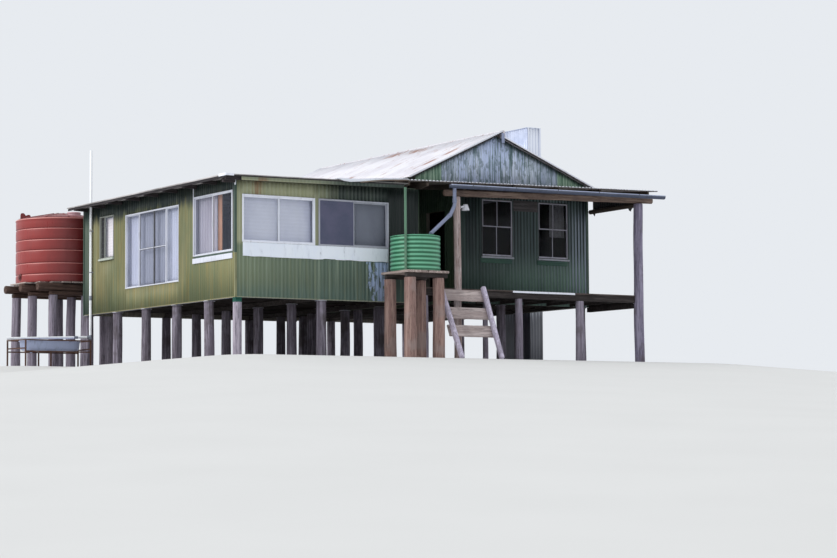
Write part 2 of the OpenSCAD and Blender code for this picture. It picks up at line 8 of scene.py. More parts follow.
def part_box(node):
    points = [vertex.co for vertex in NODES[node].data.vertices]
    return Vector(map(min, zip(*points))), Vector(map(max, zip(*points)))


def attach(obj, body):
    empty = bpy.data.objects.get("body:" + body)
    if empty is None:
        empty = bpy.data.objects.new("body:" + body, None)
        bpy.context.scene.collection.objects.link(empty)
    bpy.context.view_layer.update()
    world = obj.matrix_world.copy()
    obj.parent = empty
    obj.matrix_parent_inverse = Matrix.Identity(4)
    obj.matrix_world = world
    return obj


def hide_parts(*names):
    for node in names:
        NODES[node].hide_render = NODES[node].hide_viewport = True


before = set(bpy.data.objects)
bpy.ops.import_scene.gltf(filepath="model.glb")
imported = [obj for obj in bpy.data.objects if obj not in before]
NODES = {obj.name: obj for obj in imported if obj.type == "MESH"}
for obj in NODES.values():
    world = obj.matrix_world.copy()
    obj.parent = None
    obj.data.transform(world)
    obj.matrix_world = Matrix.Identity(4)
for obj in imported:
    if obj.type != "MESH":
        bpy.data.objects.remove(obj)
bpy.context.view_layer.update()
H = 1.3                      # lean-to wall foot, metres above the lowest feet


# ---------------------------------------------------------------- materials
def lin(r, g, b):
    out = []
    for c in (r, g, b):
        c /= 255.0
        out.append(c / 12.92 if c <= 0.04045 else ((c + 0.055) / 1.055) ** 2.4)
    return (*out, 1.0)


class NM:
    """A node material in row-frame metres."""

    def __init__(s, name, rough=0.7, metal=0.0, spec=0.35):
        s.m = bpy.data.materials.new(name)
        s.m.use_nodes = True
        s.t = s.m.node_tree
        s.t.nodes.clear()
        s.o = s.t.nodes.new("ShaderNodeOutputMaterial")
        s.b = s.t.nodes.new("ShaderNodeBsdfPrincipled")
        s.t.links.new(s.b.outputs[0], s.o.inputs[0])
        s.b.inputs["Roughness"].default_value = rough
        s.b.inputs["Metallic"].default_value = metal
        s.b.inputs["Specular IOR Level"].default_value = spec
        s.co = s.t.nodes.new("ShaderNodeTexCoord").outputs["Object"]
        sep = s.t.nodes.new("ShaderNodeSeparateXYZ")
        s.t.links.new(s.co, sep.inputs[0])
        s.x, s.y, s.z = sep.outputs
        a = s.t.nodes.new("ShaderNodeAttribute")
        a.attribute_name = "tone"
        s.tone = a.outputs["Fac"]

    def put(s, sock, v):
        if isinstance(v, bpy.types.NodeSocket):
            s.t.links.new(v, sock)
        else:
            sock.default_value = v

    def math(s, op, a, b=0.0, c=0.0):
        n = s.t.nodes.new("ShaderNodeMath")
        n.operation = op
        s.put(n.inputs[0], a)
        s.put(n.inputs[1], b)
        s.put(n.inputs[2], c)
        return n.outputs[0]

    def sm(s, x, a, b, lo=0.0, hi=1.0):
        n = s.t.nodes.new("ShaderNodeMapRange")
        n.interpolation_type = "SMOOTHSTEP"
        s.put(n.inputs[0], x)
        for i, v in enumerate((a, b, lo, hi)):
            s.put(n.inputs[1 + i], v)
        return n.outputs[0]

    def noise(s, scale, st=(1, 1, 1), detail=3.0, rough=0.55, off=0.0):
        m = s.t.nodes.new("ShaderNodeMapping")
        s.t.links.new(s.co, m.inputs[0])
        m.inputs["Location"].default_value = (off, off * 1.7, off * 0.6)
        m.inputs["Scale"].default_value = st
        n = s.t.nodes.new("ShaderNodeTexNoise")
        s.t.links.new(m.outputs[0], n.inputs["Vector"])
        n.inputs["Scale"].default_value = scale
        n.inputs["Detail"].default_value = detail
        n.inputs["Roughness"].default_value = rough
        return n.outputs[0]

    def mix(s, f, a, b, mode="MIX"):
        n = s.t.nodes.new("ShaderNodeMix")
        n.data_type = "RGBA"
        n.blend_type = mode
        s.put(n.inputs[0], f)
        s.put(n.inputs[6], a)
        s.put(n.inputs[7], b)
        return n.outputs[2]

    def mul(s, *a):
        r = a[0]
        for q in a[1:]:
            r = s.math("MULTIPLY", r, q)
        return r

    def band(s, x, a, b, w=0.02):
        return s.mul(s.sm(x, a - w, a + w), s.sm(x, b - w, b + w, 1.0, 0.0))

    def toned(s, col, k):
        """Every board or sheet a little lighter or darker than the next; on cloth the tone also carries painted fold
        shading.
        """
        g = s.sm(s.tone, 0.0, 1.0, 1.0 - k, 1.0 + k)
        n = s.t.nodes.new("ShaderNodeVectorMath")
        n.operation = "SCALE"
        s.put(n.inputs[0], col)
        s.put(n.inputs[3], g)
        return n.outputs[0]

    def done(s, col, rough=None, bumps=()):
        s.put(s.b.inputs["Base Color"], col)
        if rough is not None:
            s.put(s.b.inputs["Roughness"], rough)
        prev = None
        for h, strength, dist in bumps:
            n = s.t.nodes.new("ShaderNodeBump")
            n.inputs["Strength"].default_value = strength
            n.inputs["Distance"].default_value = dist
            s.put(n.inputs["Height"], h)
            if prev is not None:
                s.t.links.new(prev, n.inputs["Normal"])
            prev = n.outputs[0]
        if prev is not None:
            s.t.links.new(prev, s.b.inputs["Normal"])
        return s.m


STREAK = {"x": (0.35, 9, 9), "y": (9, 0.35, 9), "z": (9, 9, 0.35)}


def timber(name, axis, base, pale, dark, stain=None, k=0.22, rough=0.86, cracks=0.5):
    """Weathered timber with its grain along one axis."""
    n = NM(name, spec=0.2)
    st = STREAK[axis]
    g1 = n.noise(2.2, st, 4, 0.6)
    g2 = n.noise(7.0, st, 3, 0.6, 3.1)
    blot = n.noise(1.6, (1, 1, 1), 3, 0.6, 7.7)
    c = n.mix(n.sm(g1, 0.36, 0.64), lin(*base), lin(*pale))
    c = n.mix(n.mul(n.sm(g2, 0.54, 0.64), 0.6), c, lin(*dark))
    crack = n.mul(n.sm(n.math("ABSOLUTE", n.math("SUBTRACT", g1, 0.5)), 0.0, 0.018, 1.0, 0.0), cracks)
    c = n.mix(crack, c, lin(*[q * 0.42 for q in dark]))
    if stain:
        c = n.mix(n.mul(n.sm(blot, 0.5, 0.66), 0.7), c, lin(*stain))
    c = n.toned(c, k)
    h = n.math("SUBTRACT", n.math("ADD", n.mul(g1, 0.6), n.mul(g2, 0.5)), n.mul(crack, 0.7))
    return n.done(c, n.sm(g2, 0.3, 0.7, rough - 0.08, rough + 0.08), [(h, 0.7, 0.012)])


def paint(name, base, grime, rust=(120, 85, 62), amount=0.35, rough=0.5, k=0.05, metal=0.0, fine=30.0):
    """Old paint on metal or timber: grime in patches, thin wear and rusty specks."""
    n = NM(name, metal=metal, spec=0.4)
    a = n.noise(2.4, (1, 1, 0.45), 4, 0.6)
    b = n.noise(11.0, (1, 1, 0.25), 3, 0.6, 4.4)
    f = n.noise(fine, (1, 1, 1), 2, 0.6, 9.2)
    c = n.mix(n.mul(n.sm(a, 0.42, 0.72), amount), lin(*base), lin(*grime))
    c = n.mix(n.mul(n.sm(b, 0.52, 0.72), amount * 0.9), c, lin(*[q * 0.72 for q in grime]))
    c = n.mix(n.mul(n.sm(b, 0.66, 0.74), n.sm(f, 0.45, 0.6), 0.8), c, lin(*rust))
    c = n.toned(c, k)
    return n.done(c, n.sm(a, 0.3, 0.7, rough - 0.08, rough + 0.14), [(b, 0.18, 0.004), (f, 0.12, 0.0015)])


def iron_layers(n, c, streak, rust, amount=0.5, up="z", k=0.06):
    """Streaks, stains and specks that old sheet iron gets under its finish."""
    st = {"z": (6, 6, 0.22), "slope": (0.3, 6, 0.3), "x": (0.22, 6, 6), "y": (6, 0.22, 6)}[up]
    s1 = n.noise(1.1, st, 4, 0.62, 1.3)
    s2 = n.noise(3.2, st, 3, 0.6, 5.9)
    f = n.noise(26.0, (1, 1, 1), 2, 0.6, 2.8)
    c = n.mix(n.mul(n.sm(s1, 0.5, 0.68), amount), c, lin(*streak))
    c = n.mix(n.mul(n.sm(s2, 0.58, 0.72), n.sm(f, 0.38, 0.62), amount * 0.9), c, lin(*rust))
    c = n.toned(c, k)
    return c, s1, s2, f


def finish_iron(n, c, s1, s2, f, rough=0.55):
    return n.done(c, n.sm(s2, 0.3, 0.7, rough - 0.1, rough + 0.15), [(s1, 0.15, 0.01), (f, 0.1, 0.001)])


def crest(n, axis, u0=0.0, pitch=0.095):
    """1 on the ribs, 0 in the valleys between them."""
    return n.math("MULTIPLY_ADD", n.math("COSINE", n.math("MULTIPLY", n.math("SUBTRACT", axis, u0), 2 * math.pi / pitch)), 0.5, 0.5)


def side_iron():
    """Lean-to left wall: olive, ochre streaks, and a painted eave shadow: a dark strip with a ragged lower edge below
    the eave.
    """
    n = NM("olive_iron_side")
    big = n.noise(0.8, (1, 1, 0.5), 4, 0.6)
    c = n.mix(n.sm(big, 0.38, 0.64), lin(124, 120, 84), lin(102, 108, 76))
    c = n.mix(n.sm(n.y, 2.2, 0.2, 0.0, 0.5), c, lin(142, 142, 102))
    c = n.mix(n.mul(n.sm(n.z, H + 0.6, H + 0.05), 0.4), c, lin(92, 108, 80))
    c = n.mix(n.mul(n.sm(n.noise(2.0, (9, 9, 0.3), 4, 0.65, 21.0), 0.5, 0.66), 0.6), c, lin(150, 132, 78))
    c, s1, s2, f = iron_layers(n, c, (92, 104, 76), (122, 94, 56), 0.55)
    c = n.mix(n.mul(n.sm(n.noise(1.3, (12, 12, 0.16), 4, 0.6, 3.7), 0.54, 0.66), 0.22), c, lin(156, 158, 126))
    # painted eave shadow: a dark strip below the eave with a ragged lower edge
    run = n.noise(1.4, (4, 4, 0.5), 5, 0.7, 31.0)
    edge = n.math("ADD", n.z, n.mul(n.math("SUBTRACT", run, 0.5), 0.7))
    c = n.mix(n.mul(n.sm(edge, H + 2.04, H + 2.36), n.sm(n.z, H + 1.9, H + 2.3, 0.6, 1.0)), c, lin(27, 40, 39))
    # painted shade: darker and greener at the far end, shaded by the red tank
    c = n.mix(n.mul(n.sm(n.y, 7.18, 7.30), 0.85), c, lin(66, 86, 80))
    c = n.mix(n.mul(n.sm(n.y, 0.12, 0.08), n.sm(n.z, H + 0.94, H + 1.0), 0.8), c, lin(76, 86, 90))
    # paler on the rib tops: partly paint wear, partly painted highlight
    c = n.mix(n.mul(crest(n, n.y), n.sm(s1, 0.4, 0.6, 0.0, 0.09)), c, lin(176, 178, 152))
    c = n.mix(n.sm(n.z, H + 0.018, H + 0.010), c, lin(184, 178, 138))
    return finish_iron(n, c, s1, s2, f, 0.6)


def front_iron():
    """Lean-to front wall: greener and darker to the right, painted shade under the entry roof at the right end and
    under the eave along the top, worn patch, rust above the window.
    """
    n = NM("olive_iron_front")
    lo = n.mix(n.sm(n.x, 0.0, 2.6), lin(114, 127, 103), lin(82, 100, 87))
    # painted shade: the lower wall darkens towards the right end
    lo = n.mix(n.sm(n.x, 2.6, 3.9, 0.0, 0.7), lo, lin(62, 78, 74))
    lo = n.mix(n.mul(n.sm(n.z, H + 0.45, H + 0.02), 0.6), lo, lin(92, 118, 112))
    # painted shade: above the windows the wall goes dark to the right, under the entry roof
    hi = n.mix(n.sm(n.x, 1.7, 2.7), lin(164, 166, 134), lin(36, 48, 45))
    c = n.mix(n.sm(n.z, H + 1.1, H + 1.25), lo, hi)
    c, s1, s2, f = iron_layers(n, c, (134, 140, 104), (128, 108, 78), 0.34)
    c = n.mix(n.mul(n.sm(n.noise(1.3, (12, 12, 0.2), 4, 0.6, 3.7), 0.52, 0.66), 0.4), c, lin(150, 164, 144))
    # painted shade under the entry roof above the right window
    c = n.mix(n.mul(n.sm(n.x, 2.2, 3.0), n.sm(n.z, H + 1.15, H + 1.25), 0.8), c, lin(28, 38, 36))
    # painted shade: nearly black-green at the right end beside the recess
    c = n.mix(n.mul(n.sm(n.x, 3.82, 3.90), n.sm(n.z, H + 0.95, H + 1.15), 0.96), c, lin(22, 31, 30))
    rust = n.mul(n.band(n.x, 0.42, 0.66, 0.05), n.sm(n.z, H + 2.2, H + 2.24), n.sm(s2, 0.36, 0.56))
    c = n.mix(n.mul(rust, 0.8), c, lin(142, 104, 74))
    tilt = n.math("SUBTRACT", n.x, n.mul(n.math("SUBTRACT", n.z, H), -0.10))
    flake = n.noise(5.5, (2.2, 2.2, 0.8), 4, 0.7, 17.0)
    left = n.math("ADD", tilt, n.mul(n.math("SUBTRACT", flake, 0.5), 0.7))
    wear_and_glint = n.mul(n.sm(left, 3.42, 3.50), n.sm(n.x, 3.90, 3.84), n.sm(n.z, H + 0.90, H + 0.86),
                 n.math("MAXIMUM", n.sm(flake, 0.44, 0.50), n.mul(crest(n, n.x), n.sm(n.x, 3.5, 3.62))))
    c = n.mix(wear_and_glint, c, lin(158, 176, 208))
    # painted shade: darker along the top under the eave
    c = n.mix(n.mul(n.sm(n.z, H + 2.50, H + 2.56), 0.5), c, lin(60, 74, 66))
    # paler rib tops, fading out at the dark right end: partly paint wear, partly painted highlight
    c = n.mix(n.mul(crest(n, n.x), n.sm(n.x, 3.5, 3.9, 0.10, 0.0)), c, lin(180, 190, 180))
    c = n.mix(n.sm(n.z, H + 0.018, H + 0.010), c, lin(160, 164, 140))
    return finish_iron(n, c, s1, s2, f, 0.58)


def main_iron():
    """Main front wall under the verandah: dark green, lighter low down, bare rib tops at the right end."""
    n = NM("dark_green_iron")
    c = n.mix(n.sm(n.x, 6.0, 10.2), lin(29, 39, 41), lin(34, 46, 46))
    low = n.mul(n.sm(n.z, H + 1.7, H + 0.6), n.sm(n.x, 7.6, 9.8, 0.25, 1.0))
    c = n.mix(n.mul(low, 0.8), c, lin(118, 148, 132))
    c, s1, s2, f = iron_layers(n, c, (66, 87, 79), (64, 71, 71), 0.42)
    cr = crest(n, n.x, 7.0)
    # paler rib tops, stronger to the right: partly paint wear, partly painted highlight
    c = n.mix(n.mul(n.sm(cr, 0.25, 0.75), n.sm(n.x, 7.0, 9.9, 0.12, 0.62), n.sm(s1, 0.3, 0.6, 0.5, 1.0)), c, lin(100, 116, 120))
    edge = n.math("ADD", n.x, n.mul(n.math("SUBTRACT", s2, 0.5), 0.9))
    bare = n.mul(n.sm(edge, 10.25, 10.62), n.sm(cr, 0.45, 0.62), n.sm(s1, 0.36, 0.52, 0.3, 1.0), n.sm(n.z, H + 2.75, H + 2.2))
    c = n.mix(bare, c, lin(134, 144, 158))
    return finish_iron(n, c, s1, s2, f, 0.6)


def gable_iron():
    """Front gable: chalky blue-grey flaking in upright strips to the green below, green corner sheets."""
    n = NM("gable_iron")
    big = n.noise(1.3, (1, 1, 0.3), 4, 0.65)
    c = n.mix(n.sm(big, 0.40, 0.62), lin(228, 238, 255), lin(204, 218, 248))
    s1 = n.noise(1.0, (24, 24, 0.7), 5, 0.7, 1.3)
    s2 = n.noise(3.2, (6, 6, 0.5), 4, 0.65, 5.9)
    f = n.noise(26.0, (1, 1, 1), 2, 0.6, 2.8)
    left = n.sm(n.x, 7.4, 8.6, 0.0, 1.0)
    c = n.mix(n.mul(n.sm(s1, 0.50, 0.57), 0.75), c, lin(82, 112, 108))
    c = n.mix(n.mul(n.sm(s2, 0.55, 0.62), n.math("MULTIPLY_ADD", left, 0.35, 0.35)), c, lin(84, 110, 104))
    s3 = n.noise(7.0, (1.6, 1.6, 0.6), 3, 0.6, 4.4)
    c = n.mix(n.mul(n.sm(s3, 0.52, 0.58), 0.5), c, lin(72, 98, 98))
    c = n.mix(n.mul(n.sm(n.x, 8.9, 9.7), 0.4), c, lin(108, 124, 132))
    corner = n.math("MAXIMUM", n.sm(n.x, 6.652, 6.632), n.sm(n.x, 10.051, 10.071))
    c = n.mix(corner, c, n.mix(n.sm(s1, 0.42, 0.56), lin(162, 190, 168), lin(92, 126, 106)))
    pale = n.mul(n.band(n.x, 9.72, 9.87, 0.012), n.sm(n.z, H + 3.70, H + 3.715), n.sm(n.z, H + 3.75, H + 3.735))
    c = n.mix(pale, c, lin(226, 234, 246))
    # painted shadow: a dark band on the gable just under both rakes
    rise = n.math("MINIMUM",
                  n.math("SUBTRACT", n.math("MULTIPLY_ADD", n.x, 0.472, H + 3.112 - 0.472 * 5.68), n.z),
                  n.math("SUBTRACT", n.math("MULTIPLY_ADD", n.x, -0.402, H + 3.108 + 0.402 * 11.15), n.z))
    c = n.mix(n.mul(n.sm(rise, 0.13, 0.03), n.sm(s1, 0.3, 0.6, 0.5, 0.95)), c, lin(56, 78, 74))
    c = n.toned(c, 0.05)
    return finish_iron(n, c, s1, s2, f, 0.62)


def plain_iron():
    """Sides and back that the picture doesn't show, in the same old green."""
    n = NM("green_iron_plain")
    big = n.noise(0.7, (1, 1, 0.4), 4, 0.6, 6.1)
    c = n.mix(n.sm(big, 0.38, 0.64), lin(88, 106, 84), lin(72, 94, 78))
    c, s1, s2, f = iron_layers(n, c, (118, 126, 96), (118, 96, 68), 0.5)
    edge = n.math("ADD", n.z, n.mul(n.math("SUBTRACT", s2, 0.5), 0.5))
    c = n.mix(n.mul(n.sm(edge, H + 2.2, H + 2.6), 0.5), c, lin(46, 64, 56))
    # faintly paler rib tops: partly paint wear, partly painted highlight
    c = n.mix(n.mul(crest(n, n.math("ADD", n.x, n.y)), 0.08), c, lin(170, 182, 168))
    return finish_iron(n, c, s1, s2, f, 0.6)


def roof_left():
    """White-painted left slope: rust along the ridge, dashes of rust on the ribs, thicker near the gable end."""
    n = NM("white_roof_left", spec=0.45)
    big = n.noise(0.9, (1, 1, 1), 4, 0.6)
    c = n.mix(n.sm(big, 0.42, 0.68), lin(226, 225, 231), lin(210, 208, 216))
    c, s1, s2, f = iron_layers(n, c, (214, 208, 214), (196, 160, 142), 0.32, "slope", 0.02)
    nz = n.noise(4.0, (0.7, 3.0, 0.7), 4, 0.65, 8.3)
    dash = n.noise(1.5, (0.9, 9.5, 0.9), 5, 0.7, 12.7)
    top = n.mul(n.band(n.x, 7.96, 8.24, 0.06), n.band(n.y, 4.7, 6.7, 0.25), n.sm(nz, 0.40, 0.56))
    run1 = n.mul(n.band(n.y, 2.44, 2.63, 0.035), n.math("MAXIMUM", n.band(n.x, 6.5, 6.85, 0.08), n.band(n.x, 7.08, 7.5, 0.08)), n.sm(nz, 0.34, 0.5))
    spot = n.mul(n.band(n.y, 6.02, 6.24, 0.05), n.band(n.x, 6.5, 6.7, 0.05))
    near = n.math("MAXIMUM", n.sm(n.y, 5.6, 2.6, 0.45, 1.0), n.sm(n.x, 7.5, 8.2))
    thin = n.mul(n.sm(dash, 0.585, 0.635), near, n.sm(f, 0.3, 0.5, 0.6, 1.0))
    r = n.math("MINIMUM", n.math("ADD", n.math("ADD", top, run1), n.math("ADD", spot, n.mul(thin, 0.9))), 1.0)
    c = n.mix(n.mul(r, 0.85), c, lin(160, 112, 92))
    c = n.mix(n.mul(n.sm(dash, 0.40, 0.34), 0.35), c, lin(206, 196, 200))
    return finish_iron(n, c, s1, s2, f, 0.5)


def galv(name, base, dull, rust, up, amount=0.5, metal=0.15, rough=0.5, edge=None, foot=None):
    n = NM(name, metal=metal, spec=0.45)
    big = n.noise(1.1, (1, 1, 1), 4, 0.6, 3.3)
    c = n.mix(n.sm(big, 0.40, 0.66), lin(*base), lin(*dull))
    c, s1, s2, f = iron_layers(n, c, [q * 0.8 for q in dull], rust, amount, up, 0.06)
    if edge is not None:         # cut front edge: painted highlight on the rib ends, painted shade in the valleys between them
        wear_and_glint = n.mix(n.sm(crest(n, n.x, 4.218, 0.098), 0.55, 0.8), lin(70, 68, 74), lin(240, 242, 250))
        c = n.mix(n.sm(n.y, edge + 0.004, edge - 0.004), c, wear_and_glint)
    if foot is not None:         # chimney: brighter front sheets, and painted shade at the foot, darker towards the ground
        c = n.mix(n.sm(n.y, 4.497, 4.490), c, lin(240, 244, 255))
        foot_shade = n.math("ADD", n.z, n.mul(n.math("SUBTRACT", s2, 0.5), 1.2))
        c = n.mix(n.mul(n.sm(foot_shade, foot + 0.5, foot - 0.25), 0.85), c, lin(58, 56, 60))
    return finish_iron(n, c, s1, s2, f, rough)


def glass(name="old_glass", a_=(138, 146, 166), b_=(168, 176, 196), lo=0.07, hi=0.13, spec=0.6):
    n = NM(name, rough=0.12, spec=spec)
    a = n.noise(1.4, (1, 1, 0.5), 3, 0.6)
    f = n.noise(14.0, (1, 1, 0.4), 2, 0.6, 3.0)
    c = n.mix(n.sm(a, 0.35, 0.7), lin(*a_), lin(*b_))
    n.put(n.b.inputs["Alpha"], n.sm(a, 0.35, 0.75, lo, hi))
    return n.done(c, n.sm(f, 0.3, 0.7, 0.06, 0.2), [(a, 0.05, 0.004)])


def screen():
    """Insect screen: fine woven mesh that half hides the room."""
    n = NM("insect_screen", rough=0.8)
    a = n.noise(2.0, (1, 1, 1), 3, 0.6)
    w = n.noise(160.0, (1, 1, 1), 1, 0.5)
    c = n.mix(n.sm(a, 0.35, 0.7), lin(110, 110, 136), lin(96, 100, 124))
    c = n.mix(n.mul(n.sm(w, 0.4, 0.6), 0.4), c, lin(62, 66, 86))
    n.b.inputs["Alpha"].default_value = 0.8
    return n.done(c, None, [(w, 0.2, 0.001)])


def cloth(name, a, b, weave=420.0, dim=None):
    n = NM(name, rough=0.95, spec=0.1)
    big = n.noise(1.7, (1, 1, 0.3), 3, 0.6)
    w = n.noise(weave, (1, 1, 1), 1, 0.5)
    c = n.mix(n.sm(big, 0.35, 0.7), lin(*a), lin(*b))
    c = n.mix(n.mul(n.sm(w, 0.4, 0.6), 0.12), c, lin(*[q * 0.7 for q in b]))
    if dim:                      # painted shade: a darker band where the dark room would show through the sheer cloth
        c = n.mix(n.mul(n.band(n.y, dim[0], dim[1], 0.05), 0.6), c, lin(96, 100, 118))
    c = n.toned(c, 0.1)
    return n.done(c, n.sm(big, 0.3, 0.7, 0.85, 0.98), [(w, 0.25, 0.0008)])


def tank_paint(name, rib, mid, dull, rough=0.45, spec=0.45, up=(3, 3, 0.5), lip=None, painted_shade_side=None):
    n = NM(name, spec=spec)
    a = n.noise(1.8, up, 4, 0.6)
    b = n.noise(9.0, (1, 1, 0.2), 3, 0.6, 2.2)
    f = n.noise(60.0, (1, 1, 1), 2, 0.6, 5.0)
    # painted light: tone picks the rib colour where the profile marks a face as lit and the mid colour where it marks
    # one as shaded
    c = n.mix(n.sm(n.tone, 0.0, 1.0), lin(*mid), lin(*rib))
    c = n.mix(n.mul(n.sm(a, 0.5, 0.7), 0.3), c, lin(*dull))
    c = n.mix(n.mul(n.sm(b, 0.62, 0.78), 0.16), c, lin(*[q * 0.7 for q in dull]))
    if painted_shade_side:                      # painted shade: darker towards +x, the side of the tank away from the light
        c = n.mix(n.sm(n.x, painted_shade_side[0], painted_shade_side[1], 0.0, 0.6), c, lin(*painted_shade_side[2]))
    # painted highlight on the upward-facing groove lips and the top rim (tone near 1)
    if lip:
        c = n.mix(n.sm(n.tone, 0.95, 1.0), c, lin(*lip))
    return n.done(c, n.sm(a, 0.3, 0.7, rough - 0.08, rough + 0.12), [(b, 0.06, 0.004), (f, 0.04, 0.0008)])


# ---------------------------------------------------------------- mesh code
def nz(p, s=1.0, k=0.0):
    return noise.noise(Vector((p[0] * s + k, p[1] * s - k * 0.7, p[2] * s + k * 1.3)))


class B:
    """Collects one piece's faces, with a tone for each point."""

    def __init__(s, name):
        s.name, s.v, s.f, s.t, s.m = name, [], [], [], []

    def add(s, verts, faces, tone=0.5, mi=0):
        n = len(s.v)
        s.v += [tuple(p) for p in verts]
        s.t += list(tone) if hasattr(tone, "__len__") else [tone] * len(verts)
        s.f += [tuple(i + n for i in f) for f in faces]
        s.m += [mi] * len(faces)

    def obj(s, mats, slot=None, replaces=(), angle=38.0, thick=0.0, offset=-1.0):
        me = bpy.data.meshes.new(s.name)
        me.from_pydata(s.v, [], s.f)
        a = me.attributes.new("tone", "FLOAT", "POINT")
        a.data.foreach_set("value", s.t)
        for m in mats if isinstance(mats, (list, tuple)) else [mats]:
            me.materials.append(m)
        me.polygons.foreach_set("material_index", s.m)
        me.shade_smooth()
        me.set_sharp_from_angle(angle=math.radians(angle))
        me.update()
        o = bpy.data.objects.new(s.name, me)
        bpy.context.scene.collection.objects.link(o)
        if thick:
            d = o.modifiers.new("thickness", "SOLIDIFY")
            d.thickness, d.offset, d.use_even_offset = thick, offset, False
        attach(o, "root")
        if replaces:
            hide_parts(*([replaces] if isinstance(replaces, str) else replaces))
        return o


def keep(node, mat, bevel=0.0):
    """A CAD node whose shape is right gets its finish, and its corners eased."""
    o = NODES[node]
    o.data.materials.clear()
    o.data.materials.append(mat)
    if bevel:
        d = o.modifiers.new("eased", "BEVEL")
        d.width, d.segments, d.limit_method, d.angle_limit = bevel, 2, "ANGLE", math.radians(40)
        d.use_clamp_overlap = True
    return o


class Pl:
    """A wall plane: u along it, v up it, n out of it."""

    def __init__(s, o, u, v, n):
        s.o, s.u, s.v, s.n = Vector(o), Vector(u).normalized(), Vector(v).normalized(), Vector(n).normalized()

    def p(s, u, v, n=0.0):
        return s.o + s.u * u + s.v * v + s.n * n


FRONT = Pl((0, 0, 0), (1, 0, 0), (0, 0, 1), (0, -1, 0))
MFRONT = Pl((0, 2.0, 0), (1, 0, 0), (0, 0, 1), (0, -1, 0))
LEFT = Pl((0, 0, 0), (0, 1, 0), (0, 0, 1), (-1, 0, 0))
LBACK = Pl((0, 7.7, 0), (1, 0, 0), (0, 0, 1), (0, 1, 0))
LRIGHT = Pl((4.69, 0, 0), (0, 1, 0), (0, 0, 1), (1, 0, 0))
MRIGHT = Pl((10.97, 0, 0), (0, 1, 0), (0, 0, 1), (1, 0, 0))
MLEFT = Pl((5.9, 0, 0), (0, 1, 0), (0, 0, 1), (-1, 0, 0))
MBACK = Pl((0, 10.3, 0), (1, 0, 0), (0, 0, 1), (0, 1, 0))
RSIDE = Pl((7.0, 0, 0), (0, 1, 0), (0, 0, 1), (-1, 0, 0))
RBACK = Pl((0, 4.5, 0), (1, 0, 0), (0, 0, 1), (0, -1, 0))


def ribs(b, pos, u0, u1, lo, hi, holes=(), pitch=0.095, amp=0.0085, per=8, seed=1, wide=8, base=0.0105,
         ragged=0.0, ragged_hi=0.0, rows=(), mi=0, dent=0.0015, lap=0.0022):
    """Corrugated sheets side by side, each lapping the next by a rib. pos(u, v, n) gives a point; lo and hi give the ends of the
    sheets at u; holes are (u0, u1, v0, v1)."""
    rnd = random.Random(seed)
    lo = lo if callable(lo) else (lambda u, q=lo: q)
    hi = hi if callable(hi) else (lambda u, q=hi: q)
    k, i = u0, 0
    step = pitch / per
    while k < u1 - 0.02:
        a, e = k, min(k + wide * pitch + pitch * 0.5, u1)
        us = {round(a + j * step, 5) for j in range(int((e - a) / step) + 1)} | {round(e, 5)}
        for h in holes:
            for q in h[:2]:
                if a < q < e:
                    us.add(round(q, 5))
        us = sorted(us)
        end_lo, end_hi = rnd.uniform(-ragged, ragged), rnd.uniform(-ragged_hi, ragged_hi)
        lift = base + (lap if i % 2 else 0.0)
        tone = rnd.uniform(0.2, 0.8)
        vs = set(rows)
        for h in holes:
            if h[1] > a and h[0] < e:
                vs |= {h[2], h[3]}
        vmin = min(lo(q) for q in us) + end_lo
        vmax = max(hi(q) for q in us) + end_hi
        n = max(2, int((vmax - vmin) / 0.7))
        vs = sorted({vmin, vmax} | {q for q in vs if vmin < q < vmax} | {vmin + (vmax - vmin) * j / n for j in range(n + 1)})
        verts, ids, faces, tones = [], {}, [], []

        def vid(j, q):
            u = us[j]
            q = min(max(q, lo(u) + end_lo), hi(u) + end_hi)
            key = (j, round(q, 5))
            if key not in ids:
                ph = 2 * math.pi * (u - u0) / pitch
                d = dent * nz((u * 1.7, q * 1.1, seed), 1.6) * 2
                p = pos(u, q, lift + amp * math.cos(ph) + d)
                ids[key] = len(verts)
                verts.append(p)
                tones.append(tone)
            return ids[key]

        for j in range(len(us) - 1):
            um = (us[j] + us[j + 1]) / 2
            for r in range(len(vs) - 1):
                vm = (vs[r] + vs[r + 1]) / 2
                if any(h[0] < um < h[1] and h[2] < vm < h[3] for h in holes):
                    continue
                f = [vid(j, vs[r]), vid(j + 1, vs[r]), vid(j + 1, vs[r + 1]), vid(j, vs[r + 1])]
                f = [q for s, q in enumerate(f) if q not in f[:s]]
                if len(f) > 2:
                    faces.append(f)
        b.add(verts, faces, tones, mi)
        k += wide * pitch
        i += 1
    return b


def frame_of(axis):
    w = axis.normalized()
    ref = Vector((0, 0, 1)) if abs(w.z) < 0.9 else Vector((1, 0, 0))
    a = (ref - w * ref.dot(w)).normalized()
    return a, w.cross(a), w


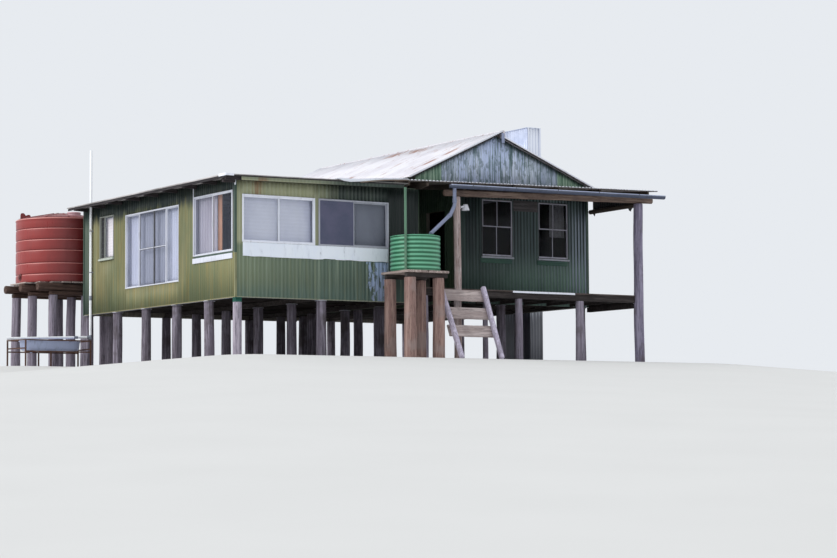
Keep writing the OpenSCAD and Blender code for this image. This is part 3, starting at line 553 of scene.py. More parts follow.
def log(b, p0, p1, r0, r1=None, seg=22, seed=1, rough=0.05, checks=4, mi=0, wander=0.0, tone=None, step=0.12):
    """A round timber: slightly out of round, with drying checks along it and eased ends."""
    r1 = r0 if r1 is None else r1
    p0, p1 = Vector(p0), Vector(p1)
    rnd = random.Random(seed)
    tone = rnd.uniform(0.15, 0.85) if tone is None else tone
    L = (p1 - p0).length
    a, c, w = frame_of(p1 - p0)
    n = max(4, int(L / step))
    ts = [0.0, 0.012 / L] + [j / n for j in range(1, n)] + [1 - 0.012 / L, 1.0]
    marks = [(rnd.uniform(0, 2 * math.pi), rnd.uniform(0, 0.5), rnd.uniform(0.5, 1.0), rnd.uniform(-0.25, 0.25)) for _ in range(checks)]
    verts, faces, tones = [], [], []
    for j, t in enumerate(ts):
        r = r0 + (r1 - r0) * t
        if j in (0, len(ts) - 1):
            r -= 0.009
        off = (a * nz((t * L, seed, 0), 0.8) + c * nz((t * L, 0, seed), 0.8)) * wander
        for i in range(seg):
            g = 2 * math.pi * i / seg
            q = r * (1 + rough * (nz((math.cos(g) * 1.3, math.sin(g) * 1.3, t * L * 0.5 + seed), 1.2) - 0.12))
            for m in marks:
                d = (g - m[0] - m[3] * t + math.pi) % (2 * math.pi) - math.pi
                if abs(d) < 0.16 and m[1] < t < m[2]:
                    q -= min(0.012, r * 0.09) * (1 - abs(d) / 0.16)
            verts.append(p0 + w * (t * L) + off + (a * math.cos(g) + c * math.sin(g)) * q)
            tones.append(tone)
    m = len(ts)
    for j in range(m - 1):
        for i in range(seg):
            i2 = (i + 1) % seg
            faces.append((j * seg + i, j * seg + i2, (j + 1) * seg + i2, (j + 1) * seg + i))
    for j, flip in ((0, True), (m - 1, False)):
        cen = sum((verts[j * seg + i] for i in range(seg)), Vector()) / seg
        verts.append(cen)
        tones.append(tone)
        for i in range(seg):
            f = (j * seg + i, j * seg + (i + 1) % seg, len(verts) - 1)
            faces.append(f[::-1] if flip else f)
    b.add(verts, faces, tones, mi)


def beam(b, p0, p1, w, h, up=(0, 0, 1), ch=0.005, seed=1, jit=0.0, bow=0.0, tone=None, mi=0, step=0.35, ends=0.0):
    """A sawn or hewn length: w across, h along up, corners eased, edges a little uneven."""
    p0, p1, up = Vector(p0), Vector(p1), Vector(up)
    rnd = random.Random(seed)
    tone = rnd.uniform(0.15, 0.85) if tone is None else tone
    ax = (p1 - p0).normalized()
    up = (up - ax * up.dot(ax)).normalized()
    side = ax.cross(up)
    L = (p1 - p0).length
    n = max(1, int(L / step)) if (jit or bow) else 1
    ch = min(ch, w * 0.3, h * 0.3)
    x, y = w / 2, h / 2
    ring = [(-x + ch, -y), (x - ch, -y), (x, -y + ch), (x, y - ch), (x - ch, y), (-x + ch, y), (-x, y - ch), (-x, -y + ch)]
    ts = [0.0] + ([min(ch / L, 0.2)]) + [j / n for j in range(1, n)] + [1 - min(ch / L, 0.2), 1.0]
    e0, e1 = rnd.uniform(-ends, ends), rnd.uniform(-ends, ends)
    verts, faces = [], []
    for j, t in enumerate(ts):
        s = 1.0 if 0 < j < len(ts) - 1 else 1 - ch / max(x, y)
        along = t * L + e0 * (1 - t) + e1 * t
        o = up * (bow * math.sin(t * math.pi) + jit * 0.8 * nz((t * L, seed, 3), 1.1)) + side * jit * nz((t * L, seed, 9), 0.9)
        for i, (u, v) in enumerate(ring):
            k = 1 + (jit / max(w, h)) * nz((t * L * 2, i, seed), 1.3) * 1.5
            verts.append(p0 + ax * along + o + side * u * k * s + up * v * k * s)
    m = len(ts)
    for j in range(m - 1):
        for i in range(8):
            faces.append((j * 8 + i, j * 8 + (i + 1) % 8, (j + 1) * 8 + (i + 1) % 8, (j + 1) * 8 + i))
    faces.append(tuple(range(8))[::-1])
    faces.append(tuple((m - 1) * 8 + i for i in range(8)))
    b.add(verts, faces, tone, mi)


def pbox(b, P, u0, u1, v0, v1, n0, n1, ch=0.004, **kw):
    """An eased block on a wall plane, its grain along its longer side."""
    if (u1 - u0) >= (v1 - v0):
        beam(b, P.p(u0, (v0 + v1) / 2, (n0 + n1) / 2), P.p(u1, (v0 + v1) / 2, (n0 + n1) / 2), n1 - n0, v1 - v0, P.v, ch, **kw)
    else:
        beam(b, P.p((u0 + u1) / 2, v0, (n0 + n1) / 2), P.p((u0 + u1) / 2, v1, (n0 + n1) / 2), u1 - u0, n1 - n0, P.n, ch, **kw)


def lathe(b, c, prof, seg=96, mi=0, tones=None, closed=False, wob=0.0, seed=0):
    """A turned form about an upright axis. prof is (radius, height) from the bottom up."""
    verts, faces, tt = [], [], []
    for j, (r, z) in enumerate(prof):
        for i in range(seg):
            g = 2 * math.pi * i / seg
            q = r * (1 + wob * nz((math.cos(g) * 2, math.sin(g) * 2, z * 2 + seed)))
            verts.append((c[0] + q * math.cos(g), c[1] + q * math.sin(g), z))
            tt.append(tones[j] if tones else 0.5)
    m = len(prof)
    for j in range(m if closed else m - 1):
        j2 = (j + 1) % m
        for i in range(seg):
            i2 = (i + 1) % seg
            faces.append((j * seg + i, j * seg + i2, j2 * seg + i2, j2 * seg + i))
    b.add(verts, faces, tt, mi)


def tube(b, pts, r, seg=20, mi=0, tone=0.5, caps=True):
    """A pipe along points, one ring to a point; r may be a list."""
    pts = [Vector(p) for p in pts]
    rs = r if isinstance(r, (list, tuple)) else [r] * len(pts)
    verts, faces = [], []
    a = None
    for j, p in enumerate(pts):
        d = (pts[min(j + 1, len(pts) - 1)] - pts[max(j - 1, 0)]).normalized()
        if a is None:
            a = frame_of(d)[0]
        a = (a - d * a.dot(d)).normalized()
        c = d.cross(a)
        for i in range(seg):
            g = 2 * math.pi * i / seg
            verts.append(p + (a * math.cos(g) + c * math.sin(g)) * rs[j])
    n = len(pts)
    for j in range(n - 1):
        for i in range(seg):
            i2 = (i + 1) % seg
            faces.append((j * seg + i, j * seg + i2, (j + 1) * seg + i2, (j + 1) * seg + i))
    if caps:
        faces.append(tuple(range(seg))[::-1])
        faces.append(tuple((n - 1) * seg + i for i in range(seg)))
    b.add(verts, faces, tone, mi)


def profile(b, pts, ax0, ax1, at, tone=0.5, mi=0, n=1):
    """Carries an open line of points from ax0 to ax1; at(q, t) places profile point q at t."""
    verts, faces = [], []
    m = len(pts)
    for j in range(n + 1):
        t = ax0 + (ax1 - ax0) * j / n
        verts += [at(q, t) for q in pts]
    for j in range(n):
        for i in range(m - 1):
            faces.append((j * m + i, j * m + i + 1, (j + 1) * m + i + 1, (j + 1) * m + i))
    b.add(verts, faces, tone, mi)


# ---------------------------------------------------------------- finishes
M_SIDE, M_FRONT, M_MAIN, M_GABLE, M_PLAIN, M_ROOF_L = side_iron(), front_iron(), main_iron(), gable_iron(), plain_iron(), roof_left()
M_ROOF_R = galv("white_roof_right", (206, 208, 214), (176, 178, 184), (150, 112, 88), "slope", 0.5, 0.05)
M_ROOF_F = galv("flat_roof_iron", (168, 166, 166), (138, 134, 132), (132, 96, 74), "x", 0.55, 0.1)
M_ROOF_V = galv("verandah_iron", (150, 142, 140), (118, 108, 104), (120, 84, 64), "y", 0.6, 0.1, edge=-0.312)
M_EDGE = galv("pale_edge_iron", (190, 186, 186), (150, 146, 146), (128, 100, 84), "y", 0.45, 0.1)
# dark timber for the left eave boards; elsewhere dark strips of it are painted shade: under the rake edges, under the
# lean-to's front roof edge and in the verandah edge's valleys
M_SHADEW = timber("dark_timber_and_painted_shade", "y", (58, 55, 58), (72, 68, 70), (40, 37, 40), None, 0.12)
M_FINIAL = paint("finial_paint", (146, 156, 186), (112, 120, 146), (112, 100, 96), 0.4, 0.5)
M_FITTING = paint("outlet_fitting", (92, 40, 40), (66, 34, 36), (60, 40, 38), 0.4, 0.5)
M_ENTRY = galv("entry_sheet_iron", (214, 216, 227), (186, 190, 202), (150, 130, 120), "x", 0.35, 0.05)
M_CHIM = galv("chimney_iron", (198, 206, 228), (166, 176, 202), (128, 112, 104), "z", 0.35, 0.2, 0.42, foot=H + 0.25)
M_GUTTER = paint("gutter_paint", (84, 90, 108), (64, 69, 85), (84, 72, 68), 0.4, 0.45)
M_DOWN = paint("downpipe_paint", (128, 136, 162), (96, 102, 124), (110, 92, 84), 0.4, 0.45)
# painted highlight: a lighter copy of the gutter paint for the upper lip
M_GUTLIP = paint("gutter_lip_paint", (176, 186, 212), (136, 144, 168), (120, 104, 94), 0.35, 0.4)
# painted shade: a darker copy of the gutter paint for the underside
M_GUTLOW = paint("gutter_shade_paint", (74, 82, 104), (58, 62, 80), (84, 72, 68), 0.4, 0.5)
M_WHITE = paint("white_paint", (242, 245, 255), (206, 208, 218), (156, 136, 118), 0.26, 0.45)
M_WHITES = paint("side_white_paint", (212, 215, 226), (178, 181, 192), (150, 128, 110), 0.28, 0.45)
M_GREYS = paint("side_grey_paint", (132, 134, 146), (108, 110, 120), (100, 92, 86), 0.3, 0.5)
M_PANEL = paint("band_panel_paint", (240, 246, 255), (212, 224, 250), (150, 148, 156), 0.2, 0.4)
M_GREYW = paint("grey_window_paint", (176, 178, 190), (140, 142, 152), (112, 100, 92), 0.35, 0.5)
M_SASH = paint("sash_paint", (182, 180, 194), (146, 144, 158), (112, 104, 98), 0.4, 0.6)
M_SMALLW = paint("small_window_paint", (150, 154, 148), (116, 120, 112), (104, 94, 80), 0.4, 0.6)
M_SILLG = paint("pale_sill_paint", (182, 190, 180), (146, 152, 140), (120, 112, 96), 0.4, 0.6)
M_MULL = paint("dark_mullion_paint", (84, 86, 88), (60, 62, 64), (80, 70, 60), 0.4, 0.5)
M_DARKIN = paint("dark_backing", (34, 36, 38), (26, 28, 30), (44, 42, 40), 0.3, 0.7)
M_BOARDG = paint("green_board_paint", (52, 88, 74), (64, 84, 84), (90, 90, 82), 0.45, 0.6)
M_HEADB = timber("head_board_timber", "x", (80, 76, 78), (98, 94, 96), (54, 50, 52))
M_FLASH = paint("olive_flashing", (132, 132, 98), (104, 110, 86), (128, 104, 70), 0.5, 0.55)
M_FLASHD = paint("green_flashing", (66, 86, 76), (52, 68, 60), (92, 84, 66), 0.5, 0.55)
M_PIPE = paint("white_pipe", (250, 252, 255), (222, 225, 236), (160, 150, 140), 0.2, 0.4)
M_COUPL = paint("grey_coupling", (140, 144, 156), (112, 116, 126), (110, 100, 90), 0.3, 0.5)
M_BATH = paint("bath_enamel", (172, 182, 212), (140, 148, 174), (134, 108, 94), 0.4, 0.35)
M_RUST = paint("rusty_steel", (92, 66, 56), (70, 52, 48), (128, 78, 52), 0.75, 0.8)
M_POLE = paint("pale_green_pole", (92, 130, 106), (72, 100, 84), (112, 96, 76), 0.45, 0.55)
M_LAMP = paint("white_plastic", (220, 222, 230), (190, 190, 196), (150, 144, 134), 0.2, 0.4)
M_PACK = timber("packer_timber", "x", (36, 86, 76), (52, 104, 92), (24, 58, 52), None, 0.12)
M_STUMP = timber("stump_timber", "z", (103, 96, 107), (142, 135, 148), (48, 43, 48), (76, 70, 71))
M_CORNER = timber("corner_stump_timber", "z", (150, 142, 156), (172, 164, 176), (96, 90, 102), None, 0.06)
M_CAP = galv("ant_cap_iron", (190, 190, 200), (150, 150, 158), (120, 100, 84), "x", 0.5, 0.2)
M_POSTL = timber("left_post_timber", "z", (166, 144, 140), (194, 178, 176), (96, 78, 72), (206, 196, 198))
M_POSTR = timber("right_post_timber", "z", (134, 127, 150), (168, 161, 184), (74, 68, 80), (104, 94, 98))
M_BEAM = timber("beam_timber", "x", (112, 94, 86), (134, 116, 106), (66, 54, 50), (92, 80, 76))
M_RAFT = timber("rafter_timber", "y", (84, 74, 68), (104, 92, 84), (52, 44, 40))
M_LIPB = timber("lip_board_timber", "x", (124, 110, 100), (150, 136, 124), (84, 74, 68))
M_TAIL = timber("rafter_tail_timber", "x", (60, 55, 57), (76, 70, 72), (40, 36, 38))
M_FRAMEX = timber("bearer_timber_x", "x", (62, 57, 56), (84, 77, 76), (38, 34, 33), (52, 47, 45))
M_FRAMEY = timber("bearer_timber_y", "y", (62, 57, 56), (84, 77, 76), (38, 34, 33), (52, 47, 45))
M_FLOOR = timber("floor_timber", "y", (92, 80, 70), (112, 98, 86), (60, 50, 44))
M_STUMPD = timber("deck_stump_timber", "z", (142, 133, 147), (176, 168, 184), (80, 73, 80), (112, 102, 104))
M_DECK = timber("deck_timber", "x", (92, 82, 80), (122, 110, 106), (58, 50, 48), (80, 70, 66))
M_STEP = timber("step_timber", "x", (176, 160, 157), (206, 192, 189), (108, 96, 92), (150, 137, 135), 0.14)
M_STRING = timber("stringer_timber", "z", (200, 190, 212), (226, 218, 236), (132, 122, 136), (170, 160, 176), 0.08)
M_GPOST = timber("tank_log_timber", "z", (132, 106, 100), (158, 132, 124), (84, 62, 58), (146, 130, 126))
M_GPLANK = timber("tank_plank_timber", "y", (156, 140, 134), (186, 172, 166), (102, 88, 82))
M_RPOST = timber("red_stand_post_timber", "z", (128, 120, 132), (154, 146, 160), (80, 72, 80))
M_RBEAR = timber("red_stand_bearer_timber", "x", (78, 60, 54), (100, 80, 72), (46, 36, 34), None, 0.15)
M_RPLANK = timber("red_stand_plank_timber", "y", (150, 138, 134), (178, 166, 160), (100, 88, 84))
M_LINING = timber("lining_board", "z", (112, 108, 100), (128, 122, 114), (88, 84, 78), None, 0.0, 0.8, 0.2)
M_LINPALE = timber("pale_lining_board", "z", (178, 181, 194), (190, 193, 206), (150, 152, 164), None, 0.0, 0.8, 0.1)
M_RAG = galv("hanging_sheet_iron", (60, 60, 64), (40, 40, 44), (86, 68, 58), "z", 0.6, 0.1)
M_GLASS, M_SCREEN = glass(), screen()
# painted shade: a darker, more opaque copy of the glass for the sash windows under the verandah
M_GLASSD = glass("sash_glass", (12, 14, 18), (24, 27, 34), 0.42, 0.56, 0.2)
M_CURT = cloth("curtain_cloth", (250, 250, 255), (232, 234, 246))
M_CURTC = cloth("corner_curtain_cloth", (182, 178, 193), (166, 162, 178))
M_DULL4 = cloth("dim_blind_cloth", (118, 121, 132), (102, 104, 115))
M_CURTL = cloth("large_curtain_cloth", (203, 208, 229), (190, 195, 218), dim=(3.30, 4.86))
M_BLIND = cloth("blind_cloth", (228, 231, 244), (210, 213, 232))
M_CREAM = cloth("cream_blind_cloth", (253, 247, 250), (240, 232, 238))
M_DULL = cloth("dull_curtain_cloth", (150, 152, 166), (122, 124, 138))
M_TAN = cloth("tan_curtain_cloth", (196, 146, 116), (166, 120, 96))
M_REDT = tank_paint("red_tank_plastic", (148, 53, 50), (129, 45, 44), (114, 43, 44), 0.34, lip=(210, 142, 136), painted_shade_side=(-1.08, 0.0, (74, 28, 33)))
M_REDLID = tank_paint("red_lid_plastic", (118, 34, 33), (102, 30, 30), (90, 30, 32), 0.34)
M_GRNT = tank_paint("green_tank_paint", (110, 180, 146), (34, 96, 66), (56, 110, 92), 0.45)
M_STRAIN = paint("strainer_plastic", (206, 170, 176), (172, 138, 142), (140, 110, 104), 0.35, 0.5)


# ---------------------------------------------------------------- levels from the CAD
def under_l(x): return H + 3.112 + 0.472 * (x - 5.68)
def under_r(x): return H + 3.108 + 0.402 * (11.15 - x)
def lean_under(x): return H + 2.59 + (x + 0.4) * 0.012
def ver_under(x, y): return H + 2.724 + (x - 4.22) * 0.0197 + (y + 0.33) * 0.08
def beam_top(x): return H + 2.621 + (x - 5.38) * 0.0225


def entry_under(x):
    p = [(2.37, 2.655), (2.9, 2.664), (3.6, 2.722), (4.15, 2.748), (4.212, 2.749)]
    for (a, za), (c, zc) in zip(p, p[1:]):
        if x <= c:
            return H + za + (zc - za) * (x - a) / (c - a)
    return H + p[-1][1]


FW = [(0.16, 1.81), (2.07, 1.81)]
F_FOOT, F_H = H + 1.195, 1.035


def hole(u0, u1, v0, v1, i=0.015):
    return (u0 + i, u1 - i, v0 + i, v1 - i)


# ---------------------------------------------------------------- wall sheets
def wall(name, P, mat, slot_name, u0, u1, lo, hi, holes=(), **kw):
    b = B(name)
    ribs(b, P.p, u0, u1, lo, hi, holes, **kw)
    return b.obj(mat, slot_name, thick=0.0016, angle=75)


front_holes = [hole(x, x + w, F_FOOT, F_FOOT + F_H) for x, w in FW]
wall("lean_to_front_sheets", FRONT, M_FRONT, "green_cladding", -0.004, 4.694, H - 0.004, H + 2.582, front_holes, seed=3)
left_holes = [hole(0.10, 1.92, H + 1.0, H + 2.32), hole(2.64, 5.37, H + 0.5, H + 2.23), hole(6.03, 6.79, H + 1.3, H + 2.31)]
wall("lean_to_side_sheets", LEFT, M_SIDE, "olive_cladding", -0.004, 7.704, H - 0.004, H + 2.582, left_holes, seed=5)
wall("lean_to_back_sheets", LBACK, M_PLAIN, "green_cladding", -0.004, 5.88, lambda u: H - 0.004 if u < 4.70 else H + 0.2, H + 2.582, seed=7)
wall("recess_left_sheets", LRIGHT, M_PLAIN, "green_cladding", -0.004, 4.49, H - 0.004, H + 2.56, [hole(2.6, 3.42, H + 0.2, H + 2.24, 0.0)], seed=9)
sash_x = [(7.795, H + 1.345), (9.465, H + 1.350)]
wall("main_front_sheets", MFRONT, M_MAIN, "green_cladding", 7.0, 10.974, H + 0.196, H + 2.9,
     [hole(x, x + 0.9, z, z + 1.385) for x, z in sash_x], seed=11)
wall("gable_sheets", MFRONT, M_GABLE, "gable_cladding", 5.9, 10.974,
     lambda u: ver_under(u, 1.998) + 0.02, lambda u: min(under_l(u), under_r(u)) - 0.003, seed=13)
wall("main_right_sheets", MRIGHT, M_PLAIN, "green_cladding", 1.996, 10.304, H + 0.196, under_r(10.97) - 0.004,
     [hole(7.3, 8.2, H + 1.345, H + 2.73), (4.495, 5.905, -1.0, 20.0)], seed=15)
wall("main_back_sheets", MBACK, M_PLAIN, "green_cladding", 5.896, 10.974, H + 0.196,
     lambda u: min(under_l(u), under_r(u)) - 0.003, [hole(9.1, 10.0, H + 1.345, H + 2.73)], seed=17)
wall("main_left_upper_sheets", MLEFT, M_PLAIN, "green_cladding", 1.996, 7.70, lean_under(5.9) + 0.034, under_l(5.9) - 0.012, seed=19)
wall("main_left_back_sheets", MLEFT, M_PLAIN, "green_cladding", 7.72, 10.304, H + 0.196, under_l(5.9) - 0.012,
     [(7.6, 7.865, lean_under(5.9) - 0.01, lean_under(5.9) + 0.034)], seed=21)
wall("recess_side_sheets", RSIDE, M_PLAIN, "green_cladding", 1.996, 4.48, H + 0.2, H + 3.55, [hole(2.38, 3.2, H + 0.4, H + 2.44, 0.0)], seed=23)
wall("recess_back_sheets", RBACK, M_PLAIN, "green_cladding", 4.70, 6.99, H + 0.2, H + 2.62, seed=25)

for node in ("lean_to_front_wall", "lean_to_left_wall", "lean_to_back_wall", "lean_to_right_wall", "main_front_wall",
             "main_right_wall", "main_left_wall", "main_back_wall", "recess_side_wall", "recess_back_wall", "front_gable"):
    keep(node, M_LINPALE if node in ("lean_to_left_wall", "lean_to_front_wall") else M_LINING)

# cover pieces where the sheets end
b = B("corner_flashings")
for P, u, v0, v1, mi in ((FRONT, 0.02, H - 0.004, H + 0.96, 0), (LEFT, 0.02, H - 0.004, H + 0.96, 0), (FRONT, 0.02, H + 0.965, H + 2.57, 1), (LEFT, 0.02, H + 0.965, H + 2.57, 1)):
    pbox(b, P, u - 0.043, u + 0.004, v0, v1, 0.0195, 0.0225, 0.001, tone=0.45, mi=mi)
pbox(b, MRIGHT, 1.97, 2.05, H + 0.196, H + 2.95, 0.0205, 0.0225, 0.001, tone=0.3, mi=1)
pbox(b, MFRONT, 10.93, 10.992, H + 0.196, H + 2.92, 0.0205, 0.0225, 0.001, tone=0.3, mi=1)
pbox(b, LEFT, 7.66, 7.722, H - 0.004, H + 2.57, 0.0195, 0.0225, 0.001, tone=0.4, mi=1)
pbox(b, LBACK, -0.022, 0.05, H - 0.004, H + 2.57, 0.0195, 0.0225, 0.001, tone=0.4, mi=1)
b.obj([M_FLASH, M_FLASHD], "olive_cladding")


# ---------------------------------------------------------------- roofs
def roof(name, mat, slot_name, node, calls, **kw):
    b = B(name)
    for pos, u0, u1, lo, hi, holes, extra in calls:
        ribs(b, pos, u0, u1, lo, hi, holes, **{**kw, **extra})
    return b.obj(mat, slot_name, node, thick=0.0016, angle=75)


SL, SR = math.atan(0.472), math.atan(0.402)


def pos_l(u, v, n): return Vector((v - n * math.sin(SL), u, under_l(v) + 0.010 + n * math.cos(SL)))
def pos_r(u, v, n): return Vector((v + n * math.sin(SR), u, under_r(v) + 0.010 + n * math.cos(SR)))
def pos_v(u, v, n): return Vector((u, v, ver_under(u, v) + 0.002 + n))
def pos_f(u, v, n): return Vector((v, u, lean_under(v) + 0.004 + n))
def pos_e(u, v, n): return Vector((v, u, entry_under(v) + 0.002 + n))


roof("main_roof_left_sheets", M_ROOF_L, "white_roof", "main_roof_left",
     [(pos_l, 1.85, 10.5, 5.68, 8.335, (), {})], ragged=0.010, seed=31, dent=0.003)
roof("main_roof_right_sheets", M_ROOF_R, "white_roof", "main_roof_right",
     [(pos_r, 1.85, 10.5, 8.345, 11.15, [(4.49, 5.91, 10.96, 12.0)], {})], ragged_hi=0.010, seed=33, dent=0.003)
roof("verandah_roof_sheets", M_ROOF_V, "roof_iron", "verandah_roof",
     [(pos_v, 4.218, 11.38, -0.33, 1.998, (), {"pitch": 0.098, "amp": 0.0125, "base": 0.013, "per": 10})], ragged=0.008, seed=35, dent=0.002)
roof("lean_to_roof_sheets", M_ROOF_F, "roof_iron", "lean_to_roof",
     [(pos_f, -0.3, 2.0, -0.4, 4.25, (), {}), (pos_f, 2.0, 7.85, -0.4, 5.895, [(7.165, 7.235, -0.097, -0.027)], {"seed": 38})],
     ragged=0.010, seed=37, dent=0.002)
roof("entry_roof_sheets", M_ENTRY, "white_roof", "entry_roof_sheet",
     [(pos_e, -0.34, 1.96, 2.37, 4.212, (), {"rows": (2.9, 3.6, 4.15)})], seed=39, dent=0.001)
keep("ridge_cap", M_ROOF_L, 0.006)

# narrow bent cover along the two rakes and the right slope's ridge side
b = B("rake_covers")
for f, x0, x1, tone in ((under_l, 5.66, 8.34, 0.5), (under_r, 8.345, 11.17, 0.8)):
    for y in (1.843, 10.497):
        beam(b, (x0, y + 0.002, f(x0) + 0.029), (x1, y + 0.002, f(x1) + 0.029), 0.010, 0.034, (0, 0, 1), 0.003, seed=4, jit=0.003, tone=tone, mi=2)
        # painted shadow: a dark strip under the rake's pale edge
        beam(b, (x0, y + 0.007, f(x0) - 0.006), (x1, y + 0.007, f(x1) - 0.006), 0.008, 0.036, (0, 0, 1), 0.002, seed=6, jit=0.003, tone=0.4, mi=1)
        beam(b, (x0, y + 0.03, f(x0) + 0.046), (x1, y + 0.03, f(x1) + 0.046), 0.062, 0.004, (0, 0, 1), 0.001, seed=5, jit=0.002, tone=tone)
b.obj([M_ROOF_R, M_SHADEW, M_WHITE], "white_roof")

# battens under the roof sheets, seen from below at the edges
b = B("roof_battens")
for i in range(7):
    x = 5.74 + i * 0.42
    if x < 8.3:
        beam(b, (x, 2.1, under_l(x) - 0.024), (x, 10.2, under_l(x) - 0.024), 0.05, 0.04, seed=50 + i, jit=0.004)
for i in range(7):
    x = 8.42 + i * 0.42
    if x < 10.9:
        beam(b, (x, 2.1, under_r(x) - 0.024), (x, 10.2, under_r(x) - 0.024), 0.05, 0.04, seed=60 + i, jit=0.004)
b.obj(M_RAFT, "frame_timber")

# ---------------------------------------------------------------- chimney
keep("chimney", M_CHIM)
CH = {"f": Pl((10.992, 4.5, 0), (1, 0, 0), (0, 0, 1), (0, -1, 0)), "r": Pl((11.36, 4.5, 0), (0, 1, 0), (0, 0, 1), (1, 0, 0)),
      "l": Pl((10.992, 4.5, 0), (0, 1, 0), (0, 0, 1), (-1, 0, 0)), "k": Pl((10.992, 5.9, 0), (1, 0, 0), (0, 0, 1), (0, 1, 0))}
b = B("chimney_sheets")
ribs(b, CH["f"].p, 0.0, 0.368, 0.01, H + 4.99, seed=41, pitch=0.092, amp=0.005, rows=(H + 0.6, H + 2.4, H + 4.0))
ribs(b, CH["k"].p, 0.0, 0.368, 0.01, H + 4.99, seed=42, pitch=0.092)
ribs(b, CH["r"].p, 0.0, 1.4, 0.01, H + 4.99, seed=43, pitch=0.0933)
ribs(b, CH["l"].p, 0.0, 1.4, under_r(10.97) + 0.05, H + 4.99, seed=44, pitch=0.0933, amp=0.007)
b.obj(M_CHIM, "chimney_iron", thick=0.0016, angle=75)
b = B("chimney_trim")
for (u, P) in ((0.0, "f"), (0.368, "f"), (0.0, "k"), (0.368, "k")):
    pbox(b, CH[P], u - 0.022, u + 0.022, 0.01 if u else under_r(10.97) + 0.05, H + 4.985, 0.019, 0.022, 0.001, tone=0.35)
for P, L in (("f", 0.368), ("k", 0.368), ("r", 1.4), ("l", 1.4)):
    pbox(b, CH[P], -0.02, L + 0.02, H + 4.982, H + 5.0, 0.003, 0.024, 0.003, tone=0.1)
# folded tray where the chimney passes the roof
for y0, y1 in ((4.44, 4.49), (5.91, 5.96)):
    beam(b, (10.90, (y0 + y1) / 2, under_r(10.90) + 0.052), (11.16, (y0 + y1) / 2, under_r(11.16) + 0.052), 0.06, 0.006, (0, 0, 1), 0.002, tone=0.6)
beam(b, (10.945, 4.42, under_r(10.945) + 0.055), (10.945, 5.98, under_r(10.945) + 0.055), 0.07, 0.008, (0, 0, 1), 0.002, tone=0.6)
b.obj(M_CHIM, "chimney_iron")


# ---------------------------------------------------------------- windows
N0, N1 = -0.056, 0.034       # frame depth about the wall's outer face
GL, GD = B("window_panes"), B("sash_window_panes")


def surround(b, P, u0, u1, v0, v1, fw=0.05, mi=0, lip=0.008, N1=N1, N0=N0):
    """Outer frame: head and sill run through, jambs between, with a lip over the sheet's cut edge."""
    pbox(b, P, u0, u1, v1 - fw, v1, N0, N1, 0.004, mi=mi, tone=0.55)
    pbox(b, P, u0, u1, v0, v0 + fw, N0, N1 + 0.004, 0.004, mi=mi, tone=0.5)
    pbox(b, P, u0, u0 + fw, v0 + fw, v1 - fw, N0, N1 - 0.002, 0.004, mi=mi, tone=0.5)
    pbox(b, P, u1 - fw, u1, v0 + fw, v1 - fw, N0, N1 - 0.002, 0.004, mi=mi, tone=0.5)
    if lip:
        for a, c, d, e in ((u0 - lip, u1 + lip, v1, v1 + lip), (u0 - lip, u0, v0, v1), (u1, u1 + lip, v0, v1)):
            pbox(b, P, a, c, d, e, 0.0195, 0.0245, 0.0015, mi=mi, tone=0.45)


def leaf(b, P, u0, u1, v0, v1, n, sw=0.020, mi=0, rails=(), d=0.022, panes=GL):
    """One sliding or fixed light: stiles, rails, glass and its bead."""
    a, c = n - d / 2, n + d / 2
    pbox(b, P, u0, u1, v1 - sw, v1, a, c, 0.003, mi=mi, tone=0.6)
    pbox(b, P, u0, u1, v0, v0 + sw, a, c, 0.003, mi=mi, tone=0.5)
    pbox(b, P, u0, u0 + sw, v0 + sw, v1 - sw, a, c, 0.003, mi=mi, tone=0.5)
    pbox(b, P, u1 - sw, u1, v0 + sw, v1 - sw, a, c, 0.003, mi=mi, tone=0.5)
    for r in rails:
        pbox(b, P, u0 + sw, u1 - sw, r - 0.018, r + 0.018, a + 0.002, c - 0.002, 0.003, mi=mi, tone=0.5)
    pbox(panes, P, u0 + sw - 0.004, u1 - sw + 0.004, v0 + sw - 0.004, v1 - sw + 0.004, n - 0.003, n + 0.002, 0.001)
    g = 0.006
    for q in ((u0 + sw, u1 - sw, v0 + sw, v0 + sw + g), (u0 + sw, u1 - sw, v1 - sw - g, v1 - sw),
              (u0 + sw, u0 + sw + g, v0 + sw, v1 - sw), (u1 - sw - g, u1 - sw, v0 + sw, v1 - sw)):
        pbox(b, P, *q, n + 0.002, n + 0.008, 0.0015, mi=mi, tone=0.35)


def slider(b, P, u0, u1, v0, v1, mi=0, flip=False, fw=0.030, n1=N1, n0=N0):
    surround(b, P, u0, u1, v0, v1, fw, mi, N1=n1, N0=n0)
    m = (u0 + u1) / 2
    outer, inner = (m - 0.010, u1 - fw), (u0 + fw, m + 0.010)
    if flip:
        outer, inner = (u0 + fw, m + 0.010), (m - 0.010, u1 - fw)
    leaf(b, P, outer[0], outer[1], v0 + fw, v1 - fw, 0.012, mi=mi)
    leaf(b, P, inner[0], inner[1], v0 + fw, v1 - fw, -0.016, mi=mi)
    for n in (0.026, -0.002, -0.030):      # track upstands on the frame's sill
        pbox(b, P, u0 + fw, u1 - fw, v0 + fw, v0 + fw + 0.008, n - 0.0015, n + 0.0015, 0.001, mi=mi, tone=0.3)
    c = outer[0] + 0.010 if not flip else outer[1] - 0.010
    pbox(b, P, c - 0.006, c + 0.006, (v0 + v1) / 2 - 0.05, (v0 + v1) / 2 + 0.05, 0.023, 0.032, 0.003, mi=mi, tone=0.2)


b = B("front_sliding_windows")
slider(b, FRONT, 0.16, 1.97, F_FOOT, F_FOOT + F_H, 0)
slider(b, FRONT, 2.07, 3.88, F_FOOT, F_FOOT + F_H, 1, True)
b.obj([M_WHITE, M_GREYW], "window_frame", "front_windows")

